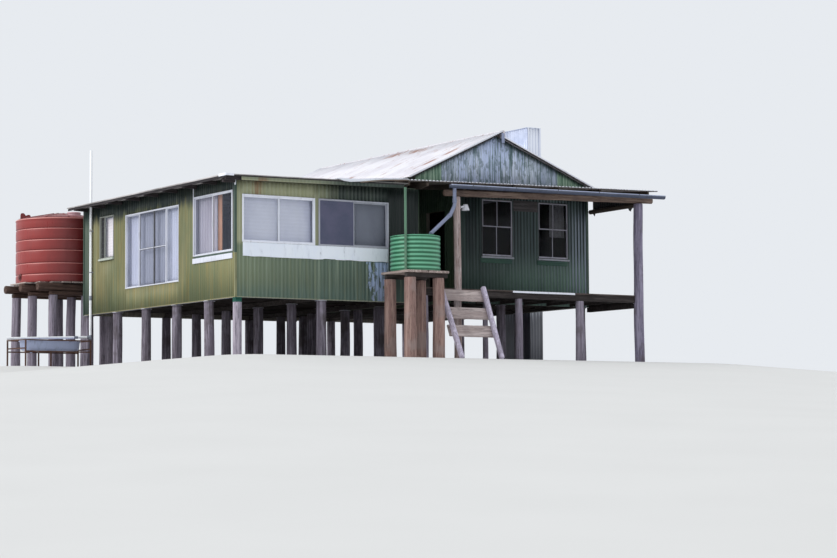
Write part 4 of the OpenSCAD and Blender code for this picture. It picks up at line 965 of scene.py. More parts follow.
b = B("corner_sliding_window")
slider(b, LEFT, 0.10, 1.92, H + 1.0, H + 2.32, 0, True, 0.022, 0.026, -0.032)
pbox(b, LEFT, 1.898, 1.930, H + 1.0, H + 2.55, 0.021, 0.030, 0.003, tone=0.7)
b.obj([M_WHITES], "window_frame", "corner_window")

b = B("large_side_window_frame")
v0, v1 = H + 0.5, H + 2.23
surround(b, LEFT, 2.64, 5.37, v0, v1, 0.024, N1=0.024, N0=-0.022)
far = 5.37
for q, w_, mi in ((0.71, 0.026, 0), (1.47, 0.022, 1), (2.085, 0.028, 0)):
    pbox(b, LEFT, far - q - w_ / 2, far - q + w_ / 2, v0 + 0.024, v1 - 0.024, -0.020, 0.018, 0.004, mi=mi, tone=0.5)
tz = v0 + 0.87
for a, c in ((far - 2.085, far - 1.47), (far - 1.47, far - 0.71)):
    pbox(b, LEFT, a + 0.014, c - 0.014, tz - 0.008, tz + 0.008, -0.018, 0.016, 0.003, tone=0.7)
    leaf(b, LEFT, a + 0.015, c - 0.015, tz + 0.006, v1 - 0.024, -0.010, 0.011, mi=2, d=0.014)
    leaf(b, LEFT, a + 0.015, c - 0.015, v0 + 0.024, tz - 0.006, -0.010, 0.011, mi=2, d=0.014)
leaf(b, LEFT, far - 0.697, far - 0.024, v0 + 0.024, v1 - 0.024, -0.012, 0.014)
leaf(b, LEFT, 2.664, far - 2.099, v0 + 0.024, v1 - 0.024, -0.012, 0.014)
b.obj([M_WHITES, M_MULL, M_GREYS], "window_frame", "large_side_window")

b = B("small_side_window_frame")
v0, v1 = H + 1.3, H + 2.31
surround(b, LEFT, 6.03, 6.79, v0, v1, 0.018, lip=0.004, N1=0.022, N0=-0.012)
pbox(b, LEFT, 6.538, 6.553, v0 + 0.018, v1 - 0.018, -0.006, 0.012, 0.003)
leaf(b, LEFT, 6.048, 6.538, v0 + 0.018, v1 - 0.018, -0.004, 0.010, d=0.012)
for i in range(7):               # louvre blades in their end channels
    z = v0 + 0.09 + i * 0.132
    beam(GL, (0.030, 6.566, z), (0.030, 6.752, z), 0.118, 0.005, (0.5, 0, 0.87), 0.001)
for y in (6.564, 6.756):
    pbox(b, LEFT, y - 0.006, y + 0.006, v0 + 0.026, v1 - 0.026, -0.05, 0.0, 0.002, tone=0.2)
# painted shade: a dark plate behind the louvre blades standing in for the shaded room
pbox(b, LEFT, 6.556, 6.764, v0 + 0.026, v1 - 0.026, -0.0080, -0.0060, 0.0005, mi=1)
b.obj([M_SMALLW, M_DARKIN], "window_frame", "small_side_window")


def double_hung(b, P, u0, v0, flip=False):
    u1, v1 = u0 + 0.9, v0 + 1.385
    surround(b, P, u0, u1, v0, v1, 0.018, mi=1, lip=0.0, N1=0.028)
    mid = v0 + 0.73
    leaf(b, P, u0 + 0.018, u1 - 0.018, mid - 0.010, v1 - 0.018, 0.010, 0.015, panes=GD)
    leaf(b, P, u0 + 0.018, u1 - 0.018, v0 + 0.018, mid + 0.010, -0.018, 0.015, panes=GD)
    pbox(b, P, u0 + 0.018, u1 - 0.018, v0 + 0.018, v0 + 0.052, -0.030, 0.012, 0.003, tone=0.7)
    pbox(b, P, u1 - 0.036, u1 - 0.018, v0 + 0.018, v1 - 0.018, -0.030, 0.022, 0.003, tone=0.6)
    pbox(b, P, (u0 + u1) / 2 - 0.009, (u0 + u1) / 2 + 0.009, mid - 0.014, v1 - 0.05, 0.002, 0.018, 0.003)
    pbox(b, P, (u0 + u1) / 2 - 0.009, (u0 + u1) / 2 + 0.009, v0 + 0.05, mid + 0.0, -0.026, -0.010, 0.003)


b = B("double_hung_windows")
for x, z in sash_x:
    double_hung(b, MFRONT, x, z)
double_hung(b, MRIGHT, 7.3, H + 1.345)
double_hung(b, MBACK, 9.1, H + 1.345)
b.obj([M_SASH, M_MULL], "sash_timber", "sash_windows")

GL.obj(M_GLASS, "glass", "window_glass")
GD.obj(M_GLASSD, "glass")

b = B("insect_screen")
pbox(b, FRONT, 2.102, 2.958, F_FOOT + 0.034, F_FOOT + F_H - 0.034, 0.0265, 0.0275, 0.0004)
b.obj(M_SCREEN, "window_frame")

# sills, aprons, head board and the band below the front windows
b = B("window_sill_boards")
pbox(b, LEFT, 0.09, 1.935, H + 0.84, H + 0.956, 0.019, 0.040, 0.004, mi=3, seed=2, jit=0.003)
pbox(b, LEFT, 0.09, 1.925, H + 0.956, H + 0.997, 0.0, 0.022, 0.002, mi=4, seed=3, jit=0.002)
pbox(b, LEFT, 6.01, 6.815, H + 1.252, H + 1.298, 0.0, 0.055, 0.006, mi=1)
for x, z in sash_x:
    pbox(b, MFRONT, x - 0.02, x + 0.92, z - 0.042, z - 0.002, 0.0, 0.06, 0.006, mi=2)
pbox(b, MRIGHT, 7.28, 8.22, H + 1.303, H + 1.343, 0.0, 0.06, 0.006, mi=2)
pbox(b, MBACK, 9.08, 10.02, H + 1.303, H + 1.343, 0.0, 0.06, 0.006, mi=2)
b.obj([M_WHITE, M_SILLG, M_GREYW, M_WHITES, M_FLASHD], "white_panel", "window_sills")

b = B("wall_board_set")
for i, (x, z) in enumerate(sash_x):
    pbox(b, MFRONT, x - 0.04, x + 0.87, z - 0.16, z - 0.102, 0.0, 0.027, 0.004, seed=i, jit=0.002)
    pbox(b, MFRONT, x - 0.04, x + 0.87, z - 0.101, z - 0.044, 0.0, 0.028, 0.004, seed=i + 3, jit=0.002)
for k in range(2):
    pbox(b, MFRONT, 8.725, 9.45, H + 2.48 + k * 0.131, H + 2.609 + k * 0.131, 0.0, 0.027 + k * 0.001, 0.004, seed=k + 7, jit=0.002, mi=1)
b.obj([M_BOARDG, M_HEADB], "green_board", "wall_boards")

b = B("band_panel")
verts, faces, n = [], [], 74
for i in range(n + 1):
    u = 0.165 + 3.71 * i / n
    lo = H + 0.893 + 0.011 * nz((u * 2.3, 0, 4), 1.9) + (0.012 if 2.2 < u < 2.5 else 0.0)
    out = 0.028 + 0.003 * nz((u, 2, 0), 2.0)
    verts += [FRONT.p(u, lo, 0.020), FRONT.p(u, lo, out), FRONT.p(u, lo + 0.1, out - 0.002), FRONT.p(u, H + 1.10, out), FRONT.p(u, H + 1.190, out), FRONT.p(u, H + 1.192, 0.0)]
for i in range(n):
    faces += [(i * 6 + k, i * 6 + k + 1, (i + 1) * 6 + k + 1, (i + 1) * 6 + k) for k in range(5)]
b.add(verts, faces)
b.obj(M_PANEL, "white_panel", "window_band_panel", thick=0.0018, offset=-1)


# ---------------------------------------------------------------- curtains and blinds
def hanging(name, P, u0, u1, v0, v1, mat, folds, amp=0.009, n0=-0.1125, seed=1, level=False):
    """Cloth hung from its top edge, in upright folds or as a flat blind with level creases."""
    per = 9
    nu = max(12, int(folds * per)) if folds else 10
    nv = 26 if level else 14
    verts, tones, faces = [], [], []
    for j in range(nv + 1):
        t = j / nv
        v = v0 + (v1 - v0) * t
        for i in range(nu + 1):
            s = i / nu
            ph = 2 * math.pi * folds * s + 1.4 * nz((s * 3, t * 0.7, seed), 1.0)
            d = amp * math.cos(ph) * (0.65 + 0.35 * (1 - t)) if folds else 0.0
            if level:
                d += 0.0012 * math.cos(2 * math.pi * 13 * t) + 0.003 * nz((s * 2, t * 2, seed), 1.3)
            edge = 0.006 * nz((t * 2, seed, i), 1.2) if i in (0, nu) else 0.0
            verts.append(P.p(u0 + (u1 - u0) * s + edge, v, n0 + max(-0.0115, min(0.0115, d))))
            # tone follows the folds: painted highlight on the crests towards the glass, painted shade in the hollows;
            # on a blind the same along its level creases
            tones.append(0.5 + 0.3 * math.cos(ph) if folds else 0.5 + 0.1 * math.cos(2 * math.pi * 13 * t))
    for j in range(nv):
        for i in range(nu):
            faces.append((j * (nu + 1) + i, j * (nu + 1) + i + 1, (j + 1) * (nu + 1) + i + 1, (j + 1) * (nu + 1) + i))
    q = B(name)
    q.add(verts, faces, tones)
    o = q.obj(mat, "curtain", thick=0.001, angle=80)
    return o


rod_b = B("curtain_rods")
for P, u0, u1, v in ((FRONT, 0.20, 2.02, H + 2.255), (FRONT, 2.12, 3.99, H + 2.255), (LEFT, 0.30, 2.06, H + 2.35), (LEFT, 2.78, 5.53, H + 2.262),
                     (MFRONT, 9.87, 10.36, H + 2.755), (MRIGHT, 7.31, 8.19, H + 2.762), (MBACK, 9.11, 9.99, H + 2.762)):
    tube(rod_b, [P.p(u0, v, -0.1125), P.p((u0 + u1) / 2, v, -0.1125), P.p(u1, v, -0.1125)], 0.006, 12)
    for u in (u0 + 0.01, u1 - 0.01):
        pbox(rod_b, P, u - 0.008, u + 0.008, v - 0.012, v + 0.012, -0.118, -0.088, 0.002)
tube(rod_b, [LEFT.p(u, H + 2.272, -0.0750) for u in (6.060, 6.40, 6.750)], 0.006, 12)
for u in (6.068, 6.742):                  # small window's rod hangs inside the opening
    pbox(rod_b, LEFT, u - 0.005, u + 0.005, H + 2.262, H + 2.312, -0.080, -0.070, 0.001)
rod_b.obj(M_GREYW, "curtain")
soft = [
    hanging("front_blind_1", FRONT, 0.215, 1.098, H + 1.215, H + 2.25, M_BLIND, 0, seed=1, level=True),
    hanging("front_blind_2", FRONT, 1.114, 1.972, H + 1.215, H + 2.25, M_BLIND, 0, seed=2, level=True),
    hanging("front_curtain_3", FRONT, 2.13, 3.05, H + 1.215, H + 2.25, M_DULL, 7, amp=0.006, seed=3),
    hanging("front_curtain_4", FRONT, 3.07, 3.90, H + 1.215, H + 2.25, M_DULL4, 0, seed=4, level=True),
    hanging("corner_curtain", LEFT, 1.02, 2.045, H + 1.01, H + 2.345, M_CURTC, 8, amp=0.005, seed=5),
    hanging("corner_side_curtain", LEFT, 0.80, 0.985, H + 1.01, H + 2.345, M_TAN, 2, amp=0.006, seed=12),
    hanging("large_curtain_near", LEFT, 2.80, 4.14, H + 0.51, H + 2.256, M_CURTL, 11, amp=0.006, seed=6),
    hanging("large_curtain_far", LEFT, 4.16, 5.51, H + 0.51, H + 2.256, M_CURTL, 11, amp=0.006, seed=7),
    hanging("small_blind", LEFT, 6.09, 6.745, H + 1.335, H + 2.268, M_CREAM, 0, n0=-0.075, seed=8, level=True),
    hanging("sash_curtain", MFRONT, 9.89, 10.34, H + 1.90, H + 2.75, M_CURT, 4, seed=9),
    hanging("right_wall_curtain", MRIGHT, 7.315, 8.185, H + 1.365, H + 2.757, M_CURT, 8, seed=10),
    hanging("back_wall_curtain", MBACK, 9.115, 9.985, H + 1.365, H + 2.757, M_CURT, 8, seed=11),
]
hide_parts("window_curtains")


# ---------------------------------------------------------------- stumps and posts
b = B("lean_to_stump_logs")
k = 0
for x in (0.08, 2.17, 4.5):
    for y in (0.07, 1.36, 2.92, 4.47, 5.99, 7.6):
        k += 1
        if (x, y) == (0.08, 0.07):
            log(b, (x, y, 0), (x, y, H - 0.104), 0.099, 0.095, seed=3, rough=0.05, checks=6, wander=0.008, mi=1, tone=0.6, step=0.1, seg=28)
            continue
        log(b, (x, y, 0), (x, y, H - 0.004), 0.117, 0.109, seed=k, rough=0.07, wander=0.012)
b.obj([M_STUMP, M_CORNER], "stump_timber", "lean_to_stumps")

b = B("main_stump_logs")
for x in (6.01, 8.43, 10.85):
    for y in (2.13, 4.8, 7.5, 10.18):
        k += 1
        log(b, (x, y, 0), (x, y, H + 0.196), 0.117, 0.109, seed=k, rough=0.07, wander=0.012)
b.obj(M_STUMP, "stump_timber", "main_stumps")

b = B("ant_caps")
for x, y, z in [(x, y, H) for x in (2.17, 4.5) for y in (0.07, 1.36, 2.92)] + [(0.08, y, H) for y in (1.36, 2.92, 4.47, 5.99, 7.6)] + \
               [(x, y, H + 0.2) for x in (6.01, 8.43, 10.85) for y in (2.13, 4.8, 7.5)]:
    lathe(b, (x, y), [(0.0, z - 0.003), (0.115, z - 0.003), (0.133, z - 0.014), (0.137, z - 0.022), (0.134, z - 0.024), (0.120, z - 0.010), (0.0, z - 0.007)], 28)
b.obj(M_CAP, "stump_timber")

b = B("packer_box")
for i, (h0, h1) in enumerate(((0.0, 0.032), (0.034, 0.066), (0.068, 0.099))):
    e = 0.003 * (i % 2)
    lo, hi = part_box("corner_packer")
    beam(b, (lo.x + e, (lo.y + hi.y) / 2, H - 0.1015 + (h0 + h1) / 2), (hi.x - e, (lo.y + hi.y) / 2, H - 0.1015 + (h0 + h1) / 2), hi.y - lo.y, h1 - h0, seed=i, jit=0.002)
b.obj(M_PACK, "green_board", "corner_packer")

b = B("verandah_post_logs")
log(b, (5.75, 0, 0), (5.75, 0, beam_top(5.75) - 0.157), 0.089, 0.083, seed=101, rough=0.09, checks=7, wander=0.02, step=0.1)
log(b, (11.0, 0, 0), (11.0, 0, beam_top(11.0) - 0.157), 0.122, 0.112, seed=102, rough=0.07, checks=7, wander=0.02, mi=1, step=0.1)
b.obj([M_POSTL, M_POSTR], "stump_timber", "verandah_posts")

b = B("verandah_beam_log")
beam(b, (5.38, 0, beam_top(5.38) - 0.075), (11.44, 0, beam_top(11.44) - 0.075), 0.100, 0.146, (0, 0, 1), 0.026, seed=7, jit=0.011, step=0.22, tone=0.5)
b.obj(M_BEAM, "frame_timber", "verandah_beam")
keep("verandah_rafters", M_RAFT, 0.006)
keep("lean_to_rafters", M_TAIL, 0.005)
keep("lean_to_subfloor", M_FRAMEX, 0.004)
keep("main_subfloor", M_FRAMEY, 0.004)
keep("lean_to_floor", M_FLOOR)
keep("main_floor", M_FLOOR)
keep("recess_floor", M_FLOOR, 0.003)
keep("deck_bearers", M_FRAMEX, 0.008)

b = B("deck_stump_logs")
for x, y, d in ((9.26, 0.06, 0.21), (7.5, 0.06, 0.18), (4.88, 0.06, 0.18), (4.88, 2.08, 0.18), (7.2, 1.0, 0.13)):
    k += 1
    log(b, (x, y, 0), (x, y, H + 0.188), d / 2 + 0.002, d / 2 - 0.006, seed=k, rough=0.08, wander=0.012)
b.obj(M_STUMPD, "stump_timber", "deck_stumps")

b = B("deck_board_set")
y, k = -0.03, 200
rnd = random.Random(12)
while y < 1.98:
    w_ = min(rnd.uniform(0.125, 0.165), 1.998 - y)
    x0, x1 = 4.697, 11.088 - rnd.uniform(0.0, 0.07)
    cuts = [x0, 7.275 if k % 2 == 0 else 9.1, x1]
    for a, c in zip(cuts, cuts[1:]):
        spans = [(a, c)]
        for px, r in ((5.75, 0.093), (11.0, 0.128)):
            if abs(y + w_ / 2) < r + w_ / 2:
                spans = [q for s in spans for q in ((s[0], min(s[1], px - r)), (max(s[0], px + r), s[1])) if q[1] - q[0] > 0.03]
        for s0, s1 in spans:
            beam(b, (s0, y + w_ / 2, H + 0.355), (s1 - 0.003, y + w_ / 2, H + 0.355), w_ - 0.006, 0.029, seed=k, jit=0.0018, step=0.5, ch=0.003)
    y += w_
    k += 1
b.obj(M_DECK, "floor_timber", "deck_boards")
b = B("deck_edge_strip")
pbox(b, FRONT, 7.275, 9.064, H + 0.322, H + 0.366, 0.030, 0.034, 0.001, seed=3, jit=0.004)
b.obj(M_WHITE, "white_panel")

# raking steps
b = B("step_stringer_pair")
for x, top, yt, m in ((5.174, 0.74, 0.016, 0.52), (6.340, 0.44, -0.146, 0.45)):
    z0, z1 = 0.034, H + top - 0.024
    ya, yc = yt - m * (H + top - z0), yt - m * (H + top - z1)
    beam(b, (x, ya, z0), (x, yc, z1), 0.110, 0.116, (0, -1, m), 0.026, seed=int(x * 10), jit=0.005, step=0.2, tone=0.6)
b.obj(M_STRING, "stump_timber", "step_stringers")
b = B("step_board_set")
for i, z in enumerate((0.33, -0.085, -0.5)):
    y0 = -0.055 - 0.45 * (0.44 - z)
    y1 = y0 - 0.45 * 0.265
    beam(b, (5.135, (y0 + y1) / 2, H + z - 0.1325), (6.385, (y0 + y1) / 2, H + z - 0.1325), 0.038, 0.285, (0, y0 - y1, 0.265), 0.008, seed=70 + i, jit=0.009, step=0.16, tone=(0.7, 0.5, 0.62)[i])
b.obj(M_STEP, "stump_timber", "step_boards")

# ---------------------------------------------------------------- gutter, pipes and lamp
b = B("gutter_channel")
G = [(-0.338, 0.086), (-0.338, 0.012), (-0.346, 0.003), (-0.366, 0.0), (-0.404, 0.004), (-0.426, 0.018), (-0.437, 0.040), (-0.438, 0.070), (-0.441, 0.080), (-0.437, 0.089),
     (-0.430, 0.090), (-0.426, 0.085)]


def gpos(q, x): return Vector((x, q[0], H + 2.612 + (x - 5.31) * 0.073 / 6.2 + q[1] + 0.0016 * nz((x * 1.3, 0, 0), 1.2)))


# underside and back in the darker copy (painted shade), front face in the gutter paint, upper lip in the lighter copy
# (painted highlight)
for q0, q1, mi in ((0, 6, 1), (5, 7, 1), (6, 8, 0), (7, 12, 2)):
    profile(b, G[q0:q1], 5.312, 11.508, gpos, 0.5, mi, 40)
for x in (5.312, 11.508):
    pts = [gpos(q, x) for q in G[:10]]
    b.add(pts, [tuple(range(10))], 0.4)
for x in (5.9, 7.1, 8.3, 9.5, 10.7):
    for q0, q1 in zip(G[:9], G[1:10]):
        p0, p1 = gpos(q0, x), gpos(q1, x)
        c = gpos((-0.388, 0.045), x)
        p0, p1 = p0 + (p0 - c).normalized() * 0.003, p1 + (p1 - c).normalized() * 0.003
        b.add([p0, p1, p1 + Vector((0.022, 0, 0)), p0 + Vector((0.022, 0, 0))], [(0, 1, 2, 3)], 0.2)
b.obj([M_GUTTER, M_GUTLOW, M_GUTLIP], "gutter_paint", "gutter", thick=0.002, offset=0)

b = B("downpipe_run")
A_, B_, C_, E_ = Vector((5.428, -0.386, H + 2.612)), Vector((5.428, -0.386, H + 2.225)), Vector((5.262, -0.470, H + 2.004)), Vector((4.5, -0.8, H + 1.5))


def bend(p, q, r, t=0.10, n=6):
    a, c = p + (q - p).normalized() * ((q - p).length - t), q + (r - q).normalized() * t
    return [a * (1 - s) ** 2 + q * 2 * s * (1 - s) + c * s * s for s in [i / n for i in range(n + 1)]]


path = [A_] + bend(A_, B_, C_, 0.07) + bend(B_, C_, E_, 0.07) + [E_]
tube(b, path, 0.042, 24, tone=0.5)
for p, q, r in ((A_, B_, 0.051), (C_, E_, 0.050)):
    d = (q - p).normalized()
    c = p + d * ((q - p).length * (0.72 if p is A_ else 0.06))
    tube(b, [c - d * 0.05, c - d * 0.046, c + d * 0.046, c + d * 0.05], [r - 0.004, r, r, r - 0.004], 24, tone=0.3)
tube(b, [E_ + (C_ - E_).normalized() * 0.02, E_ + (C_ - E_).normalized() * 0.01], [0.048, 0.048], 24, tone=0.2)
for i in range(2):
    p = A_ + (B_ - A_) * (0.15 + 0.5 * i)
    tube(b, [p, p - Vector((0, 0, 0.025))], 0.0455, 24, tone=0.1)
b.obj(M_DOWN, "gutter_paint", "downpipe")

b = B("lamp_shade")
lathe(b, (5.985, 0.0), [(0.088, H + 2.171), (0.090, H + 2.180), (0.082, H + 2.215), (0.066, H + 2.262), (0.056, H + 2.298), (0.050, H + 2.309), (0.0, H + 2.310),
                        (0.0, H + 2.304), (0.046, H + 2.302), (0.052, H + 2.290), (0.062, H + 2.255), (0.078, H + 2.210), (0.084, H + 2.176)], 40, closed=False)
lathe(b, (5.985, 0.0), [(0.0, H + 2.178), (0.030, H + 2.182), (0.044, H + 2.205), (0.040, H + 2.232), (0.022, H + 2.256), (0.018, H + 2.29), (0.0, H + 2.292)], 28, mi=1)
beam(b, (5.828, 0, H + 2.235), (5.945, 0, H + 2.262), 0.046, 0.040, seed=2, ch=0.008)
tube(b, [(5.826, 0, H + 2.235), (5.834, 0, H + 2.235)], [0.05, 0.046], 28)
b.obj([M_LAMP, M_GREYW], "white_plastic", "post_lamp")

b = B("vent_pipe_run")
tube(b, [(-0.062, 7.2, H - 0.545), (-0.062, 7.2, H + 1.5), (-0.062, 7.2, H + 3.955), (-0.062, 7.2, H + 3.970)], [0.0325, 0.0325, 0.0325, 0.030], 28)
for z, h, r in ((H - 0.597, 0.10, 0.040), (H + 0.34, 0.11, 0.038)):
    tube(b, [(-0.062, 7.2, z), (-0.062, 7.2, z + 0.006), (-0.062, 7.2, z + h - 0.006), (-0.062, 7.2, z + h)], [r - 0.003, r, r, r - 0.003], 28, mi=1)
W0, W1 = Vector((-2.065, 7.56, H - 0.603)), Vector((-0.062, 7.2, H - 0.547))
tube(b, [W0, (W0 + W1) / 2, W1], 0.030, 24)
for t0, t1, mi in ((0.0, 0.035, 0), (0.80, 0.845, 1), (0.955, 0.985, 1)):
    tube(b, [W0 + (W1 - W0) * t0, W0 + (W1 - W0) * t1], 0.0345, 24, mi=mi)
for z in (H + 1.0, H + 2.0):          # saddles that hold the pipe to the wall
    tube(b, [(-0.062, 7.2, z), (-0.062, 7.2, z + 0.025)], 0.0345, 28, mi=1)
    beam(b, (-0.035, 7.2, z + 0.012), (-0.018, 7.2, z + 0.012), 0.11, 0.024, ch=0.002, mi=1)
lathe(b, (-0.062, 7.2), [(0.033, lean_under(-0.06) + 0.075), (0.038, lean_under(-0.06) + 0.072), (0.050, lean_under(-0.06) + 0.04), (0.085, lean_under(-0.06) + 0.031),
                         (0.085, lean_under(-0.06) + 0.027), (0.034, lean_under(-0.06) + 0.027)], 28, mi=1)
b.obj([M_PIPE, M_COUPL], "white_plastic", "vent_pipe")
keep("stand_pole", M_POLE, 0.003)

# ---------------------------------------------------------------- bath in its frame
b = B("bath_shell")


def tub(off, z, n=64):
    """Round-ended outline, off inside the rim."""
    cx, cy, hl, hw = -1.12, 7.19, 0.75 - off, 0.33 - off
    pts = []
    for i in range(n):
        g = 2 * math.pi * i / n
        c, s = math.cos(g), math.sin(g)
        e = 2 / 3.4
        pts.append((cx + hl * math.copysign(abs(c) ** e, c), cy + hw * math.copysign(abs(s) ** e, s), z))
    return pts


HB = H + 0.035
rings = [(0.10, HB - 0.938), (0.060, HB - 0.925), (0.040, HB - 0.88), (0.030, HB - 0.80), (0.024, HB - 0.735), (0.018, HB - 0.722), (0.004, HB - 0.720), (0.0, HB - 0.712),
         (0.002, HB - 0.704), (0.012, HB - 0.700), (0.026, HB - 0.704), (0.036, HB - 0.72), (0.046, HB - 0.80), (0.060, HB - 0.87), (0.085, HB - 0.905), (0.14, HB - 0.918)]
verts = [p for o_, z in rings for p in tub(o_, z)]
faces = [(j * 64 + i, j * 64 + (i + 1) % 64, (j + 1) * 64 + (i + 1) % 64, (j + 1) * 64 + i) for j in range(len(rings) - 1) for i in range(64)]
faces.append(tuple(range(64))[::-1])
faces.append(tuple((len(rings) - 1) * 64 + i for i in range(64)))
b.add(verts, faces)
tube(b, [(-1.60, 7.19, HB - 0.925), (-1.60, 7.19, HB - 0.99)], 0.028, 20)
b.obj(M_BATH, "bath_enamel", "bath_tub", angle=50)
keep("bath_frame", M_RUST, 0.004)


# ---------------------------------------------------------------- tanks
RC, GC = (0.0, 9.03), (4.09, -0.8)
prof, tones = [(1.106, H + 0.840), (1.117, H + 0.842), (1.121, H + 0.852)], [0.4, 0.4, 0.5]
grooves = [H + 1.022, H + 1.292, H + 1.604, H + 1.866, H + 2.140]
last = H + 0.852
for z in grooves:
    for t in (0.35, 0.7):
        prof.append((1.1235, last + (z - 0.012 - last) * t))
        tones.append(0.75)
    # groove tones: 1 on the upward-facing lip for painted highlight, 0 on the undercut above it for painted shade
    prof += [(1.1215, z - 0.016), (1.1205, z - 0.011), (1.1185, z - 0.007), (1.098, z + 0.013), (1.096, z + 0.018), (1.101, z + 0.024), (1.118, z + 0.030), (1.1215, z + 0.038)]
    tones += [0.7, 0.8, 1.0, 1.0, 0.3, 0.0, 0.2, 0.6]
    last = z + 0.038
# top rim tones near 1: painted highlight on its upper faces
prof += [(1.1235, H + 2.30), (1.122, H + 2.355), (1.124, H + 2.366), (1.132, H + 2.374), (1.134, H + 2.392), (1.128, H + 2.403), (1.112, H + 2.406), (1.104, H + 2.400), (1.104, H + 0.84)]
tones += [0.75, 0.7, 0.8, 0.95, 1.0, 1.0, 0.9, 0.3, 0.3]
b = B("red_tank_wall")
lathe(b, RC, prof, 144, tones=tones, closed=True, wob=0.0012)
# bottom outlet low on the side
d = Vector((-0.9993, -0.038, 0)).normalized()
p = Vector((RC[0], RC[1], H + 0.975)) + d * 1.112
tube(b, [p, p + d * 0.014, p + d * 0.018, p + d * 0.019], [0.088, 0.088, 0.080, 0.05], 28, mi=1)
tube(b, [p + d * 0.018, p + d * 0.042, p + d * 0.046], [0.046, 0.046, 0.040], 24, mi=1)
b.obj([M_REDT, M_FITTING], "red_tank", "red_tank_shell")

b = B("red_tank_lid_and_base")
lid = [(1.100, H + 2.402), (1.112, H + 2.409), (1.098, H + 2.420), (1.02, H + 2.434), (1.005, H + 2.446), (0.99, H + 2.449), (0.62, H + 2.512), (0.605, H + 2.524), (0.59, H + 2.527),
       (0.24, H + 2.584), (0.225, H + 2.594), (0.19, H + 2.596), (0.15, H + 2.594), (0.0, H + 2.594), (0.0, H + 2.58), (0.2, H + 2.575), (1.09, H + 2.398)]
lathe(b, RC, lid, 128, tones=[0.6, 0.8, 0.8, 0.6, 0.9, 0.9, 0.6, 0.9, 0.9, 0.6, 0.9, 0.9, 0.7, 0.7, 0.5, 0.5, 0.5])
lathe(b, RC, [(0.0, H + 0.842), (1.104, H + 0.842), (1.104, H + 0.854), (0.0, H + 0.854)], 96)
for i in range(12):
    g = 2 * math.pi * (i + 0.5) / 12
    c, s = math.cos(g), math.sin(g)
    beam(b, (RC[0] + 0.26 * c, RC[1] + 0.26 * s, H + 2.588), (RC[0] + 1.06 * c, RC[1] + 1.06 * s, H + 2.432), 0.045, 0.022, ch=0.008, tone=0.85)
q = math.radians(-20)
ux, uy = Vector((math.cos(q), math.sin(q), 0)), Vector((-math.sin(q), math.cos(q), 0))
lug = Vector((-0.862, 9.285, H + 2.42))
pts = [(-0.125, 0.0), (-0.122, 0.140), (-0.104, 0.167), (-0.078, 0.175), (-0.045, 0.172), (-0.020, 0.152), (0.0, 0.120), (0.020, 0.113), (0.045, 0.128), (0.075, 0.135),
       (0.104, 0.130), (0.124, 0.105), (0.130, 0.0)]
n = len(pts)
vv = [lug + ux * a + uy * s + Vector((0, 0, c)) for s in (-0.033, 0.033) for a, c in pts]
b.add(vv, [tuple(range(n)), tuple(range(n, 2 * n))[::-1]] + [(i + 1, i, i + n, i + 1 + n) for i in range(n - 1)] + [(0, n - 1, 2 * n - 1, n)], 0.8)
lathe(b, (0.05, 8.43), [(0.0, H + 2.44), (0.165, H + 2.44), (0.168, H + 2.455), (0.160, H + 2.462), (0.157, H + 2.54), (0.168, H + 2.548), (0.170, H + 2.572), (0.162, H + 2.582),
                        (0.148, H + 2.582), (0.144, H + 2.566), (0.0, H + 2.560)], 56, mi=1)
for i in range(24):
    g = 2 * math.pi * i / 24
    c, s = math.cos(g), math.sin(g)
    beam(b, (0.05 + 0.160 * c, 8.43 + 0.160 * s, H + 2.462), (0.05 + 0.160 * c, 8.43 + 0.160 * s, H + 2.545), 0.010, 0.008, (c, s, 0), 0.002, tone=0.8, mi=1)
b.obj([M_REDLID, M_STRAIN], "red_tank", "red_tank_ends")

# small ribbed tank: eight ribs at even spacing
prof, tones = [], []
z0, z1, n = H + 0.64, H + 1.41, 8
prof.append((0.552, z0)); tones.append(0.3)
prof.append((0.557, z0 + 0.006)); tones.append(0.6)
prof.append((0.553, z0 + 0.014)); tones.append(0.3)
for i in range(n * 10 + 1):
    t = i / (n * 10)
    w_ = 0.5 + 0.5 * math.cos(2 * math.pi * (t * n - 0.5))
    prof.append((0.547 + 0.013 * w_, z0 + 0.016 + (z1 - 0.014 - z0 - 0.016) * t))
    # tone follows the ribs: painted highlight on the crests, painted shade in the valleys
    tones.append(w_ ** 1.3)
prof += [(0.553, z1 - 0.010), (0.560, z1 - 0.006), (0.560, z1 - 0.001), (0.552, z1), (0.545, z1 - 0.004), (0.545, z0 + 0.002)]
tones += [0.4, 1.0, 1.0, 0.9, 0.3, 0.3]
b = B("green_tank_wall")
lathe(b, GC, prof, 112, tones=tones, closed=True, wob=0.002)
g = math.radians(215)                       # riveted upright seam
c, s = math.cos(g), math.sin(g)
beam(b, (GC[0] + 0.5595 * c, GC[1] + 0.5595 * s, z0 + 0.01), (GC[0] + 0.5595 * c, GC[1] + 0.5595 * s, z1 - 0.01), 0.030, 0.003, (c, s, 0), 0.001, tone=0.75)
b.obj(M_GRNT, "green_tank", "green_tank_shell")
b = B("green_tank_lid_and_base")
lathe(b, GC, [(0.0, z0 + 0.001), (0.546, z0 + 0.001), (0.546, z0 + 0.012), (0.0, z0 + 0.012)], 72, tones=[0.2] * 4)
lathe(b, GC, [(0.540, z1 - 0.002), (0.556, z1 + 0.001), (0.555, z1 + 0.006), (0.535, z1 + 0.010), (0.48, z1 + 0.020), (0.30, z1 + 0.025), (0.0, z1 + 0.026), (0.0, z1 + 0.020), (0.54, z1 - 0.004)],
      80, tones=[0.6, 1.0, 1.0, 0.7, 0.6, 0.6, 0.6, 0.3, 0.3])
